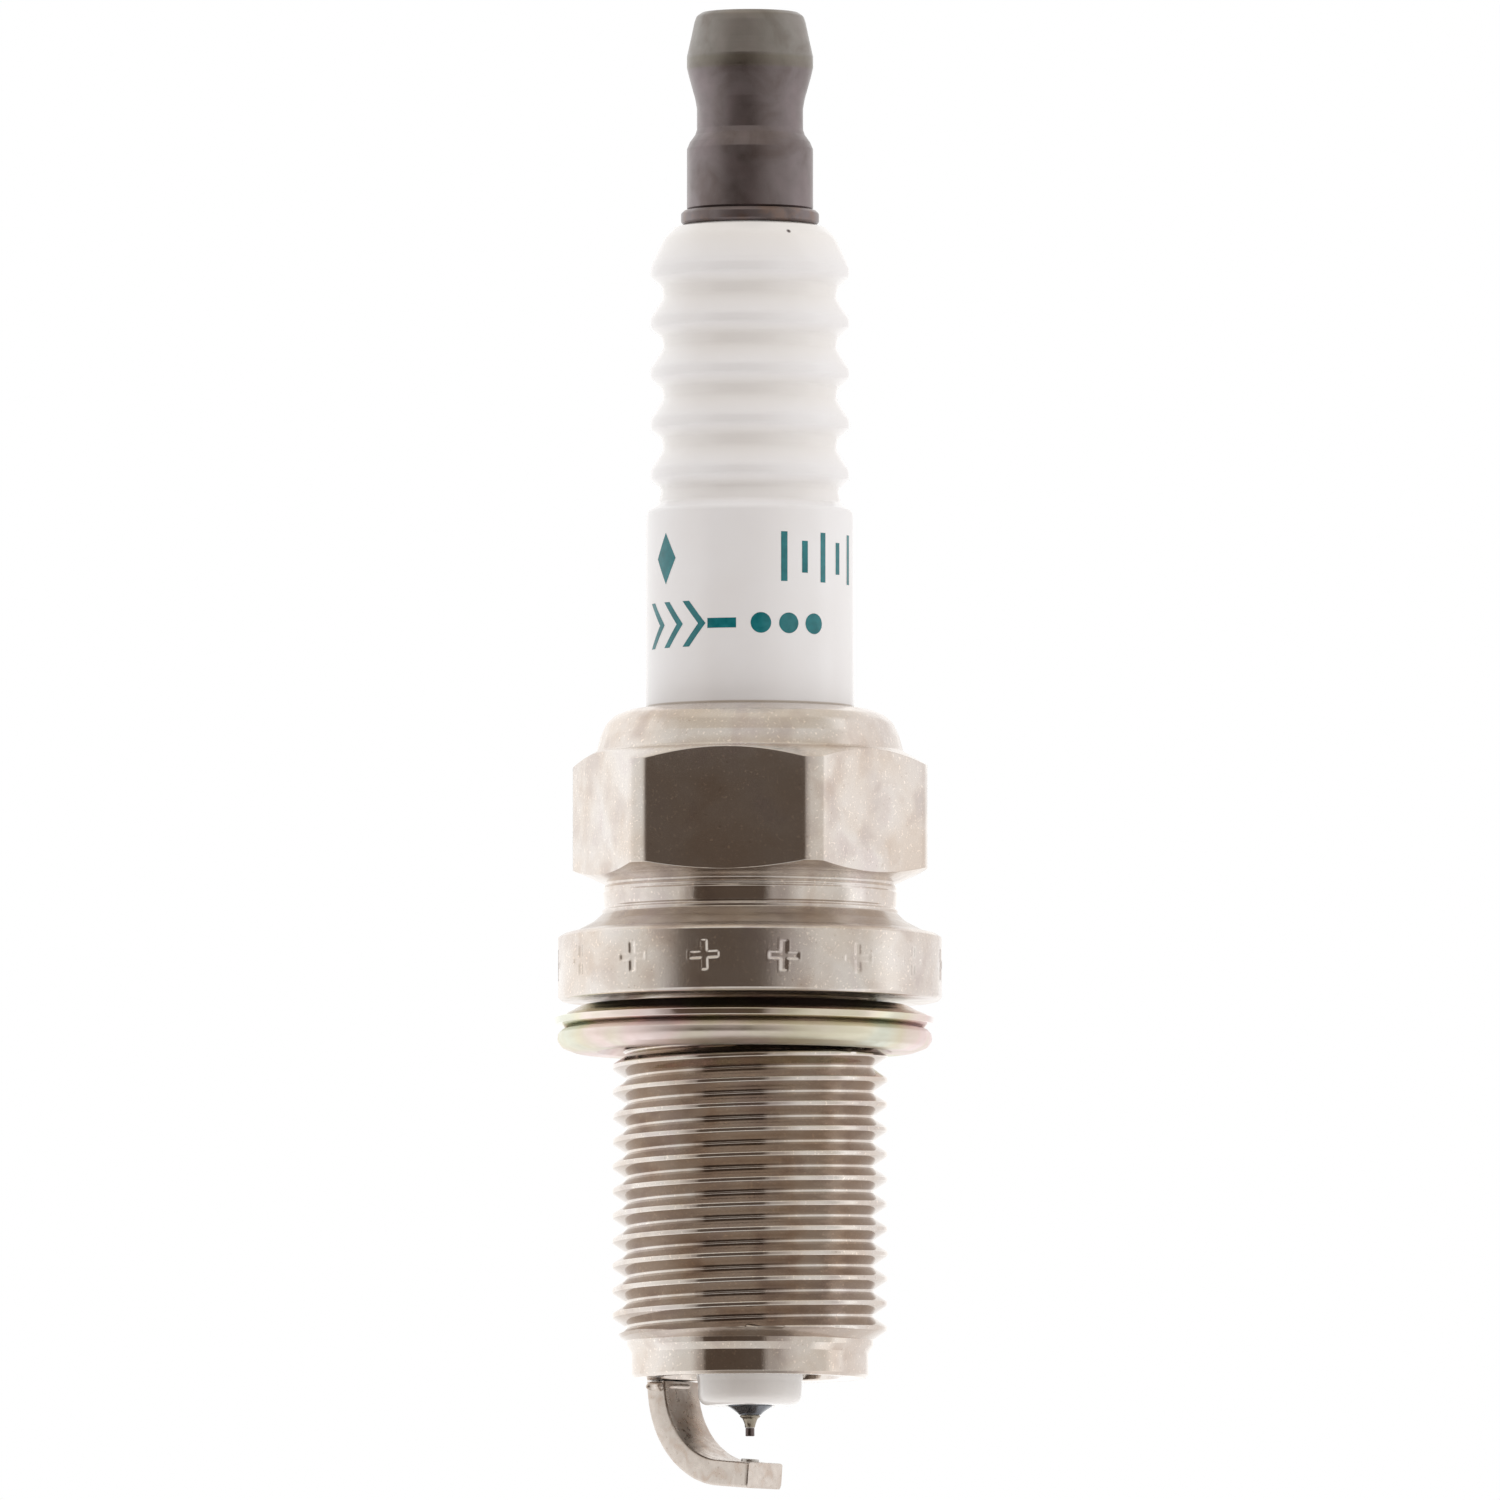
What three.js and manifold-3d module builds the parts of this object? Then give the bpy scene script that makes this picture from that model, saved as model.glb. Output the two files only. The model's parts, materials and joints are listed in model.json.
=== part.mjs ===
// A spark plug with an M14 x 1.25 thread, 19 mm reach and a 16 mm hexagon, as an assembly of 18 solids.
// Millimetres. The axis is Z, +Z points to the terminal, and z = 0 is the shell's gasket seat.
// The front is -Y. Outlines are lists of [radius, z], counter-clockwise: up the outside, down the inside.

import * as THREE from "three";
import { mergeVertices } from "three/addons/utils/BufferGeometryUtils.js";
import Module from "manifold-3d";

const wasm = await Module();
wasm.setup();

// ---------------------------------------------------------------- driving dimensions

const SEGMENTS = 32; // facets round a turned piece
const FINE_SEGMENTS = 24; // facets round a piece under 4 mm across
const MERGE = 1e-4; // vertices closer than this are one
const GAP = 0.03; // air between two fixed pieces that touch on the real plug
const DEGREE = Math.PI / 180;

// Shell, outside
const THREAD_PITCH = 1.25;
const THREAD_CREST = 6.93;
const THREAD_ROOT = 6.23;
const THREAD_TOP = -2.74; // the ridge starts here, at +X
const THREAD_BOTTOM = -16.65;
const REACH = 19;
const PILOT_RADIUS = 5.97;
const PILOT_LENGTH = 1.8;
const FLANGE_RADIUS = 9.64;
const FLANGE_HEIGHT = 3.2;
const NECK_RADIUS = 7.43;
const NECK_GROOVE = 7.28;
const NECK_BOTTOM = 4.5;
const NECK_TOP = 5.8;
const HEX_ACROSS_FLATS = 16;
const HEX_CORNER_RADIUS = 8.97;
const HEX_TURN = 9.1; // degrees from the front to the nearest flat's normal, clockwise from above
const HEX_BOTTOM = 6.1;
const HEX_TOP = 12.45;
const HEX_CHAMFER = 0.62;
const LIP_RADIUS = 7.75;
const LIP_TOP = 14.8;

// Shell, inside
const SHELL_BORE = 6.5;
const LOWER_BORE = 4.45;
const LEDGE_RADIUS = 3.75;
const SEAT_Z = -14.15;
const SEAT_SLOPE = Math.tan(30 * DEGREE);
const WASHER_THICKNESS = 0.3;
const SHOULDER_Z = 3.2; // where the shell's lower bore opens out

// Insulator
const INSULATOR_TOP = 39.05;
const NOSE_END = -20.37;
const NOSE_RADIUS = 2.6;
const NOSE_ROOT_RADIUS = 3.3;
const BODY_RADIUS = 4.25;
const COLLAR_RADIUS = 6.35;
const BARREL_RADIUS = 5.25;
const BARREL_TOP = 24.6;
const RIB_CREST = 5.03;
const RIB_VALLEY = 4.38;
const RIB_PITCH = 2.55;
const RIB_COUNT = 5;
const TOP_RIB_Z = 36.7;
const STEM_BORE = 1.95;
const STEM_BORE_END = -4.3;
const ELECTRODE_BORE = 1.15;

// Terminal
const TERMINAL_TOP = 49.8;
const TERMINAL_RADIUS = 3.175;
const TERMINAL_WAIST = 2.68;
const STUD_FLANGE_RADIUS = 3.47;
const STUD_FLANGE_TOP = 39.8;
const STUD_TOP = 47.3;
const STUD_PITCH = 0.7;
const STUD_CREST = 1.97;
const STUD_ROOT = 1.55;
const STUD_SHANK = 1.85;
const STUD_KEY_RADIUS = 1.45;
const STUD_KEY_TOP = 18.5;
const STUD_END = 15;
const NUT_BORE = 2.05;

// Glass, resistor and centre electrode
const FILL_RADIUS = 1.92;
const RESISTOR_TOP = 11.4;
const RESISTOR_BOTTOM = 3;
const HEAD_RADIUS = 1.7;
const HEAD_TOP = -3.4;
const NECK_END = -2.4;
const ELECTRODE_RADIUS = 1.1;
const CORE_RADIUS = 0.6;
const CORE_BOTTOM = -18.6;
const CONE_END = -20.82;
const CONE_END_RADIUS = 0.55;
const WELD_END = -21.47;
const PIN_RADIUS = 0.225;
const PIN_END = -21.9;

// Packing under the lip
const RING_WIRE = 0.5;
const RING_RADIUS = 5.87;
const LOWER_RING_Z = 10.02;
const UPPER_RING_Z = 12.88;

// Gasket
const GASKET_TOP = -0.2;
const GASKET_BOTTOM = -2.6;
const GASKET_BORE = 6.7;
const GASKET_RIM = 9.58;
const GASKET_BODY = 9.4;
const GASKET_FACE = 7.35; // where its flat underside starts, clear of the thread's crest on every side
const GASKET_SHIFT = -0.28; // it hangs loose on the first thread, against one side

// Ground strap, in its own plane: u runs from the root over the axis to the tip
const STRAP_TURN = 42; // degrees from +X to the strap's direction, clockwise from above
const STRAP_THICKNESS = 1.3;
const STRAP_WIDTH = 2.6;
const STRAP_ROOT_U = -5.22;
const STRAP_TIP_U = 0.95;
const LEG_START_U = -1.2;
const LEG_FALL = 5 * DEGREE;
const SPARK_GAP = 1.1;
const PAD_RADIUS = 0.45;
const PAD_HEIGHT = 0.15;

// ---------------------------------------------------------------- geometry helpers

// A closed geometry as a manifold-3d solid, without the flat triangles that a lathe leaves on its axis.
function solidOf(geometry) {
  const bare = geometry.index ? geometry.toNonIndexed() : geometry.clone();
  bare.deleteAttribute("normal");
  bare.deleteAttribute("uv");
  const merged = mergeVertices(bare, MERGE);
  const corners = merged.index.array;
  const kept = [];
  for (let i = 0; i < corners.length; i += 3) {
    const [a, b, c] = corners.slice(i, i + 3);
    if (a !== b && b !== c && c !== a) kept.push(a, b, c);
  }
  const vertProperties = merged.attributes.position.array;
  const triVerts = new Uint32Array(kept);
  return new wasm.Manifold(new wasm.Mesh({ numProp: 3, vertProperties, triVerts }));
}

function geometryOf(solid) {
  const { vertProperties, triVerts } = solid.getMesh();
  const geometry = new THREE.BufferGeometry();
  geometry.setAttribute("position", new THREE.BufferAttribute(vertProperties, 3));
  geometry.setIndex(new THREE.BufferAttribute(triVerts, 1));
  geometry.computeVertexNormals();
  return geometry;
}

// A turned solid about Z.
function turned(outline, segments = SEGMENTS) {
  const points = outline.map(([radius, z]) => new THREE.Vector2(radius, z));
  return solidOf(new THREE.LatheGeometry(points, segments).rotateX(Math.PI / 2));
}

// A turned ring: its outline comes back to its first point.
function ring(outline, segments = SEGMENTS) {
  return turned([...outline, outline[0]], segments);
}

function rod(radius, bottom, top, segments = FINE_SEGMENTS) {
  return turned([[0, bottom], [radius, bottom], [radius, top], [0, top]], segments);
}

// Points on an arc about [radius, z], from one angle to another in degrees, ends included.
function arc([radius, z], size, from, to, steps) {
  return Array.from({ length: steps + 1 }, (_, i) => {
    const angle = (from + ((to - from) * i) / steps) * DEGREE;
    return [radius + size * Math.cos(angle), z + size * Math.sin(angle)];
  });
}

// A right-hand thread's ridge, rooted a little inside its core and fading into it at both ends.
// It is a long prism of the thread's section, wound round Z: the prism's length is the angle turned.
function threadRidge({ crest, root, pitch, top, bottom, stepsPerTurn }) {
  const embed = 0.15;
  const crestHalf = pitch / 16;
  const base = root - embed;
  const baseHalf = crestHalf + (crest - base) * Math.tan(30 * DEGREE);
  const section = new THREE.Shape([
    new THREE.Vector2(base, -baseHalf),
    new THREE.Vector2(crest, -crestHalf),
    new THREE.Vector2(crest, crestHalf),
    new THREE.Vector2(base, baseHalf),
  ]);
  const turns = (top - bottom) / pitch;
  const steps = Math.round(turns * stepsPerTurn);
  const length = (steps / stepsPerTurn) * 2 * Math.PI;
  const fade = Math.PI; // the ridge grows to its height in half a turn
  const lowest = 0.1; // share of its height at the very end, which is inside the core
  const geometry = new THREE.ExtrudeGeometry(section, { depth: length, steps, bevelEnabled: false });
  const position = geometry.attributes.position;
  for (let i = 0; i < position.count; i++) {
    const along = position.getZ(i);
    const share = Math.max(lowest, Math.min(1, along / fade, (length - along) / fade));
    const radius = base + (position.getX(i) - base) * share;
    const z = top + position.getY(i) - (pitch * along) / (2 * Math.PI);
    position.setXYZ(i, radius * Math.cos(-along), radius * Math.sin(-along), z);
  }
  return solidOf(geometry);
}

// The height of the shell's conical seat at a radius.
const seatZ = (radius) => SEAT_Z + (radius - LEDGE_RADIUS) * SEAT_SLOPE;

// ---------------------------------------------------------------- terminal

// The SAE terminal: bulb, waist and skirt, with a blind bore. Its M4 thread is left as a plain bore.
function terminalNut() {
  const skirtBottom = STUD_FLANGE_TOP + GAP;
  return ring([
    [NUT_BORE, skirtBottom],
    [TERMINAL_RADIUS - 0.1, skirtBottom],
    [TERMINAL_RADIUS, skirtBottom + 0.15],
    [TERMINAL_RADIUS, 43.0],
    [TERMINAL_RADIUS - 0.15, 43.3],
    [TERMINAL_WAIST + 0.08, 43.6],
    [TERMINAL_WAIST, 43.85],
    [TERMINAL_WAIST, 44.7],
    [2.76, 45.4],
    [2.96, 46.15],
    [TERMINAL_RADIUS - 0.05, 46.8],
    [TERMINAL_RADIUS, 47.1],
    [TERMINAL_RADIUS, 47.5],
    [2.98, 48.45],
    [2.82, 49.2],
    [2.68, 49.58],
    [2.4, TERMINAL_TOP],
    [0, TERMINAL_TOP],
    [0, STUD_TOP + 1],
    [NUT_BORE, STUD_TOP + 0.3],
  ]);
}

// The stem: M4 thread, flange on the insulator's top face, shank, and a ringed key end held in glass.
function terminalStud() {
  const keyRings = [];
  for (let z = STUD_END + 0.5; z < STUD_KEY_TOP - 0.6; z += 0.8) {
    keyRings.push([STUD_KEY_RADIUS, z], [STUD_KEY_RADIUS - 0.15, z + 0.2], [STUD_KEY_RADIUS - 0.15, z + 0.4]);
    keyRings.push([STUD_KEY_RADIUS, z + 0.6]);
  }
  const core = turned([
    [0, STUD_END],
    [STUD_KEY_RADIUS - 0.3, STUD_END],
    [STUD_KEY_RADIUS, STUD_END + 0.3],
    ...keyRings,
    [STUD_KEY_RADIUS, STUD_KEY_TOP],
    [STUD_SHANK, STUD_KEY_TOP + 0.3],
    [STUD_SHANK, INSULATOR_TOP + GAP],
    [STUD_FLANGE_RADIUS - 0.1, INSULATOR_TOP + GAP],
    [STUD_FLANGE_RADIUS, INSULATOR_TOP + GAP + 0.1],
    [STUD_FLANGE_RADIUS, STUD_FLANGE_TOP - 0.1],
    [STUD_FLANGE_RADIUS - 0.1, STUD_FLANGE_TOP],
    [STUD_ROOT, STUD_FLANGE_TOP],
    [STUD_ROOT, STUD_TOP - 0.25],
    [STUD_ROOT - 0.25, STUD_TOP],
    [0, STUD_TOP],
  ], FINE_SEGMENTS);
  const thread = threadRidge({
    crest: STUD_CREST,
    root: STUD_ROOT,
    pitch: STUD_PITCH,
    top: STUD_TOP - 0.5,
    bottom: STUD_FLANGE_TOP + 0.6,
    stepsPerTurn: 12,
  });
  return core.add(thread);
}

// ---------------------------------------------------------------- insulator

// The ribs as a smooth wave, from the lowest valley to the top crest.
function ribWave() {
  const pointsPerRib = 6;
  const middle = (RIB_CREST + RIB_VALLEY) / 2;
  const swing = (RIB_CREST - RIB_VALLEY) / 2;
  const lowest = TOP_RIB_Z - (RIB_COUNT - 0.5) * RIB_PITCH;
  const count = (RIB_COUNT - 0.5) * pointsPerRib;
  return Array.from({ length: count + 1 }, (_, i) => {
    const z = lowest + (i * RIB_PITCH) / pointsPerRib;
    const phase = (2 * Math.PI * (z - TOP_RIB_Z)) / RIB_PITCH;
    return [middle + swing * Math.cos(phase), z];
  });
}

function ceramicInsulator() {
  const seatLift = WASHER_THICKNESS + 3 * GAP;
  return ring([
    [ELECTRODE_BORE, NOSE_END],
    [NOSE_RADIUS - 0.5, NOSE_END],
    ...arc([NOSE_RADIUS - 0.45, NOSE_END + 0.45], 0.45, -60, 0, 2),
    [NOSE_ROOT_RADIUS, -15],
    [NOSE_ROOT_RADIUS, seatZ(NOSE_ROOT_RADIUS) + seatLift],
    [BODY_RADIUS, seatZ(BODY_RADIUS) + seatLift],
    [BODY_RADIUS, 2.9],
    [BODY_RADIUS + 0.2, SHOULDER_Z + 0.35],
    [COLLAR_RADIUS, SHOULDER_Z + 1.9],
    [COLLAR_RADIUS, 9],
    [BARREL_RADIUS, 9.8],
    [BARREL_RADIUS, BARREL_TOP - 0.3],
    [BARREL_RADIUS - 0.15, BARREL_TOP],
    ...ribWave(),
    [4.78, 37.5],
    [4.52, 38.05],
    [4.2, 38.55],
    [3.8, 38.92],
    [3.6, INSULATOR_TOP],
    [STEM_BORE, INSULATOR_TOP],
    [STEM_BORE, STEM_BORE_END],
    [ELECTRODE_BORE, STEM_BORE_END - 0.4],
  ]);
}

// ---------------------------------------------------------------- inside the bore

// Conductive glass cast round the stud's key end.
function upperGlassSeal() {
  return ring([
    [0, RESISTOR_TOP + GAP],
    [FILL_RADIUS, RESISTOR_TOP + GAP],
    [FILL_RADIUS, STUD_KEY_TOP - GAP],
    [STUD_KEY_RADIUS + GAP, STUD_KEY_TOP - GAP],
    [STUD_KEY_RADIUS + GAP, STUD_END - GAP],
    [0, STUD_END - GAP],
  ], FINE_SEGMENTS);
}

function resistorCore() {
  return rod(FILL_RADIUS, RESISTOR_BOTTOM, RESISTOR_TOP);
}

// Conductive glass cast round the neck above the electrode's head.
function lowerGlassSeal() {
  const neck = ELECTRODE_RADIUS + GAP;
  return ring([
    [neck, HEAD_TOP + GAP],
    [FILL_RADIUS, HEAD_TOP + GAP],
    [FILL_RADIUS, RESISTOR_BOTTOM - GAP],
    [0, RESISTOR_BOTTOM - GAP],
    [0, NECK_END + GAP],
    [neck, NECK_END + GAP],
  ], FINE_SEGMENTS);
}

// The nickel electrode: neck and head in the glass, long shank, hollow cone at the firing end.
function centreElectrode() {
  const headBottom = STEM_BORE_END + 2 * GAP;
  const coneWidth = ELECTRODE_RADIUS - CONE_END_RADIUS;
  const coneHeight = NOSE_END - 0.05 - CONE_END;
  const cone = [0, 30, 60, 90].map((angle) => [
    ELECTRODE_RADIUS - coneWidth * Math.cos(angle * DEGREE),
    CONE_END + coneHeight * Math.sin(angle * DEGREE),
  ]);
  return ring([
    [0, CONE_END],
    ...cone,
    [ELECTRODE_RADIUS, headBottom - 0.4],
    [HEAD_RADIUS, headBottom + 0.1],
    [HEAD_RADIUS, HEAD_TOP],
    [ELECTRODE_RADIUS, HEAD_TOP],
    [ELECTRODE_RADIUS, NECK_END],
    [CORE_RADIUS + GAP, NECK_END],
    [CORE_RADIUS + GAP, CORE_BOTTOM],
    [0, CORE_BOTTOM - 0.5],
  ], FINE_SEGMENTS);
}

function copperCore() {
  return turned([
    [0, CORE_BOTTOM - 0.4],
    [CORE_RADIUS, CORE_BOTTOM + 0.1],
    [CORE_RADIUS, NECK_END],
    [0, NECK_END],
  ], FINE_SEGMENTS);
}

function tipWeld() {
  return turned([
    [0, WELD_END],
    [PIN_RADIUS + 0.04, WELD_END],
    [0.36, WELD_END + 0.3],
    [CONE_END_RADIUS - 0.02, CONE_END - 0.02],
    [0, CONE_END - 0.02],
  ], FINE_SEGMENTS);
}

function iridiumTip() {
  return rod(PIN_RADIUS, PIN_END, WELD_END - 0.02);
}

// ---------------------------------------------------------------- shell

function hexBlock() {
  const cornerRadius = HEX_ACROSS_FLATS / Math.sqrt(3);
  const firstCorner = -90 - HEX_TURN + 30;
  const corners = Array.from({ length: 6 }, (_, i) => {
    const angle = (firstCorner + 60 * i) * DEGREE;
    return new THREE.Vector2(cornerRadius * Math.cos(angle), cornerRadius * Math.sin(angle));
  });
  const height = HEX_TOP - HEX_BOTTOM;
  const prism = new THREE.ExtrudeGeometry(new THREE.Shape(corners), { depth: height, bevelEnabled: false });
  const chamferTop = HEX_CORNER_RADIUS - HEX_CHAMFER / Math.tan(30 * DEGREE);
  const envelope = turned([
    [0, HEX_BOTTOM],
    [chamferTop, HEX_BOTTOM],
    [HEX_CORNER_RADIUS, HEX_BOTTOM + HEX_CHAMFER],
    [HEX_CORNER_RADIUS, HEX_TOP - HEX_CHAMFER],
    [chamferTop, HEX_TOP],
    [0, HEX_TOP],
  ], 2 * SEGMENTS);
  return solidOf(prism.translate(0, 0, HEX_BOTTOM)).intersect(envelope);
}

// The turned outside: pilot, thread core, flange, neck and the lip that is rolled over the packing.
function shellOutside() {
  const pilotTop = -REACH + PILOT_LENGTH;
  return turned([
    [0, -REACH],
    [PILOT_RADIUS - 0.15, -REACH],
    [PILOT_RADIUS, -REACH + 0.15],
    [PILOT_RADIUS, pilotTop],
    [THREAD_ROOT, pilotTop + 0.25],
    [THREAD_ROOT, 0],
    [FLANGE_RADIUS - 0.3, 0],
    [FLANGE_RADIUS, 0.3],
    [FLANGE_RADIUS, FLANGE_HEIGHT - 0.1],
    [FLANGE_RADIUS - 0.3, FLANGE_HEIGHT + 0.15],
    [8.23, 3.76],
    [7.6, 4.15],
    [NECK_GROOVE, NECK_BOTTOM],
    [NECK_RADIUS, NECK_BOTTOM + 0.15],
    [NECK_RADIUS, NECK_TOP - 0.1],
    [NECK_RADIUS + 0.2, HEX_BOTTOM],
    [LIP_RADIUS, HEX_BOTTOM + 0.2],
    [LIP_RADIUS, 12.6],
    [7.55, 13.2],
    [7.2, 13.98],
    [6.8, 14.4],
    [6.2, 14.62],
    [5.4, LIP_TOP],
    [0, LIP_TOP],
  ]);
}

// Everything that is cut out of the shell: nose chamber, ledge, body bore, packing bore and the lip's mouth.
function shellInside() {
  const past = 1; // the cutter runs this far beyond both ends
  const mouth = BARREL_RADIUS + 2 * GAP;
  return turned([
    [0, -REACH - past],
    [LOWER_BORE, -REACH - past],
    [LOWER_BORE, -15.6],
    [LEDGE_RADIUS, -15.1],
    [LEDGE_RADIUS, SEAT_Z],
    [LOWER_BORE, seatZ(LOWER_BORE)],
    [LOWER_BORE, SHOULDER_Z],
    [SHELL_BORE, SHOULDER_Z + 1.4],
    [SHELL_BORE, 12.95],
    [6.2, 13.38],
    [mouth, 13.6],
    [mouth, LIP_TOP + past],
    [0, LIP_TOP + past],
  ]);
}

function metalShell() {
  const thread = threadRidge({
    crest: THREAD_CREST,
    root: THREAD_ROOT,
    pitch: THREAD_PITCH,
    top: THREAD_TOP,
    bottom: THREAD_BOTTOM,
    stepsPerTurn: SEGMENTS / 2,
  });
  return shellOutside().add(hexBlock()).add(thread).subtract(shellInside());
}

// ---------------------------------------------------------------- packing and gasket

function packingRing(centreZ) {
  const circle = arc([RING_RADIUS, centreZ], RING_WIRE, 0, 360, 8);
  circle.pop();
  return ring(circle);
}

function talcPacking() {
  const bottom = LOWER_RING_Z + RING_WIRE + GAP;
  const top = UPPER_RING_Z - RING_WIRE - GAP;
  const inner = BARREL_RADIUS + GAP;
  const outer = SHELL_BORE - GAP;
  return ring([[inner, bottom], [outer, bottom], [outer, top], [inner, top]]);
}

function seatWasher() {
  const inner = LEDGE_RADIUS + 0.05;
  const outer = LOWER_BORE - 0.05;
  const top = WASHER_THICKNESS + GAP;
  return ring([
    [inner, seatZ(inner) + GAP],
    [outer, seatZ(outer) + GAP],
    [outer, seatZ(outer) + top],
    [inner, seatZ(inner) + top],
  ]);
}

// A folded sheet-steel ring: bead, thin rim and rolled body. Its bore is smaller than the thread's crest.
function crushGasket() {
  return ring([
    [GASKET_BORE, -2.2],
    [GASKET_BORE + 0.15, -2.42],
    [GASKET_FACE, GASKET_BOTTOM],
    [8.6, GASKET_BOTTOM],
    [9.05, -2.48],
    [9.3, -2.25],
    [GASKET_BODY, -1.85],
    [9.3, -1.45],
    [8.9, -1.27],
    [9.3, -1.17],
    [GASKET_RIM, -1.08],
    [GASKET_RIM, -0.85],
    [9.35, -0.72],
    [8.45, -0.62],
    [8.55, -0.42],
    [8.3, GASKET_TOP],
    [7.3, GASKET_TOP],
    [GASKET_BORE, -0.5],
  ]);
}

// ---------------------------------------------------------------- ground electrode

// The height of the straight leg's middle line, which leaves the spark gap and the pad below the pin.
function legZ(u) {
  const atAxis = PIN_END - SPARK_GAP - PAD_HEIGHT - GAP - STRAP_THICKNESS / 2 / Math.cos(LEG_FALL);
  return atAxis - u * Math.tan(LEG_FALL);
}

// The strap's middle line: a bend from the shell's end ring, then a straight leg under the tip.
function strapMiddle() {
  const bendReach = 2.9;
  const legReach = 1.9;
  const rootZ = -REACH - GAP;
  const bend = new THREE.CubicBezierCurve(
    new THREE.Vector2(STRAP_ROOT_U, rootZ),
    new THREE.Vector2(STRAP_ROOT_U, rootZ - bendReach),
    new THREE.Vector2(LEG_START_U - legReach, legZ(LEG_START_U - legReach)),
    new THREE.Vector2(LEG_START_U, legZ(LEG_START_U)),
  );
  return [...bend.getPoints(12), new THREE.Vector2(STRAP_TIP_U, legZ(STRAP_TIP_U))];
}

// The middle line moved sideways: to the outer face with a positive distance, to the inner with a negative.
function strapFace(middle, distance) {
  return middle.map((point, i) => {
    const before = middle[Math.max(0, i - 1)];
    const after = middle[Math.min(middle.length - 1, i + 1)];
    const along = i === 0 ? new THREE.Vector2(0, -1) : after.clone().sub(before).normalize();
    return new THREE.Vector2(point.x + along.y * distance, point.y - along.x * distance);
  });
}

// Turns a piece drawn in the strap's plane, u along X and z along Y, into its place.
function placeStrap(geometry) {
  return geometry.rotateX(Math.PI / 2).rotateZ(-STRAP_TURN * DEGREE);
}

function groundElectrode() {
  const middle = strapMiddle();
  const outer = strapFace(middle, STRAP_THICKNESS / 2);
  const inner = strapFace(middle, -STRAP_THICKNESS / 2);
  const outline = new THREE.Shape([...outer, ...inner.reverse()]);
  const plate = new THREE.ExtrudeGeometry(outline, { depth: STRAP_WIDTH, bevelEnabled: false });
  return solidOf(placeStrap(plate.translate(0, 0, -STRAP_WIDTH / 2)));
}

// A disc on the strap's inner face, right under the pin.
function platinumPad() {
  const disc = new THREE.CylinderGeometry(PAD_RADIUS, PAD_RADIUS, PAD_HEIGHT, FINE_SEGMENTS);
  const centreZ = PIN_END - SPARK_GAP - PAD_HEIGHT / 2;
  return solidOf(placeStrap(disc.rotateZ(-LEG_FALL).translate(0, centreZ, 0)));
}

// ---------------------------------------------------------------- finishes and assembly

const FINISHES = {
  terminal_steel: { color: 0x5c5450, roughness: 0.45, metalness: 1 },
  glazed_alumina: { color: 0xf2efec, roughness: 0.15, metalness: 0 },
  nickel_plate: { color: 0xb9ad9c, roughness: 0.32, metalness: 1 },
  zinc_chromate: { color: 0xb5b08a, roughness: 0.3, metalness: 1 },
  nickel_alloy: { color: 0xa69a8a, roughness: 0.4, metalness: 1 },
  precious_metal: { color: 0x8a8682, roughness: 0.3, metalness: 1 },
  conductive_glass: { color: 0x3a3632, roughness: 0.5, metalness: 0 },
  resistor_mix: { color: 0x24211f, roughness: 0.8, metalness: 0 },
  copper: { color: 0xb87350, roughness: 0.4, metalness: 1 },
  talc: { color: 0xddd8cc, roughness: 0.9, metalness: 0 },
  packing_steel: { color: 0x9a9894, roughness: 0.4, metalness: 1 },
};

const plug = new THREE.Group();

function place(name, finish, solid) {
  const mesh = new THREE.Mesh(geometryOf(solid), new THREE.MeshStandardMaterial(FINISHES[finish]));
  mesh.name = name;
  plug.add(mesh);
  return mesh;
}

place("terminal_nut", "terminal_steel", terminalNut());
place("terminal_stud", "terminal_steel", terminalStud());
place("ceramic_insulator", "glazed_alumina", ceramicInsulator());
place("upper_glass_seal", "conductive_glass", upperGlassSeal());
place("resistor_core", "resistor_mix", resistorCore());
place("lower_glass_seal", "conductive_glass", lowerGlassSeal());
place("centre_electrode", "nickel_alloy", centreElectrode());
place("copper_core", "copper", copperCore());
place("tip_weld", "nickel_alloy", tipWeld());
place("iridium_tip", "precious_metal", iridiumTip());
place("metal_shell", "nickel_plate", metalShell());
place("upper_packing_ring", "packing_steel", packingRing(UPPER_RING_Z));
place("talc_packing", "talc", talcPacking());
place("lower_packing_ring", "packing_steel", packingRing(LOWER_RING_Z));
place("seat_washer", "packing_steel", seatWasher());
place("crush_gasket", "zinc_chromate", crushGasket()).position.x = GASKET_SHIFT;
place("ground_electrode", "nickel_alloy", groundElectrode());
place("platinum_pad", "precious_metal", platinumPad());

export default plug;
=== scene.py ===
"""The looks of a spark plug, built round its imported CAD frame.

Outlines are lists of (radius, z) in millimetres in the CAD frame: +Z points to the terminal, z = 0 is the
gasket seat and the front is -Y. A third number in a point is the radius that its corner is rounded to.
"""

import json
import math
import random

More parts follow.
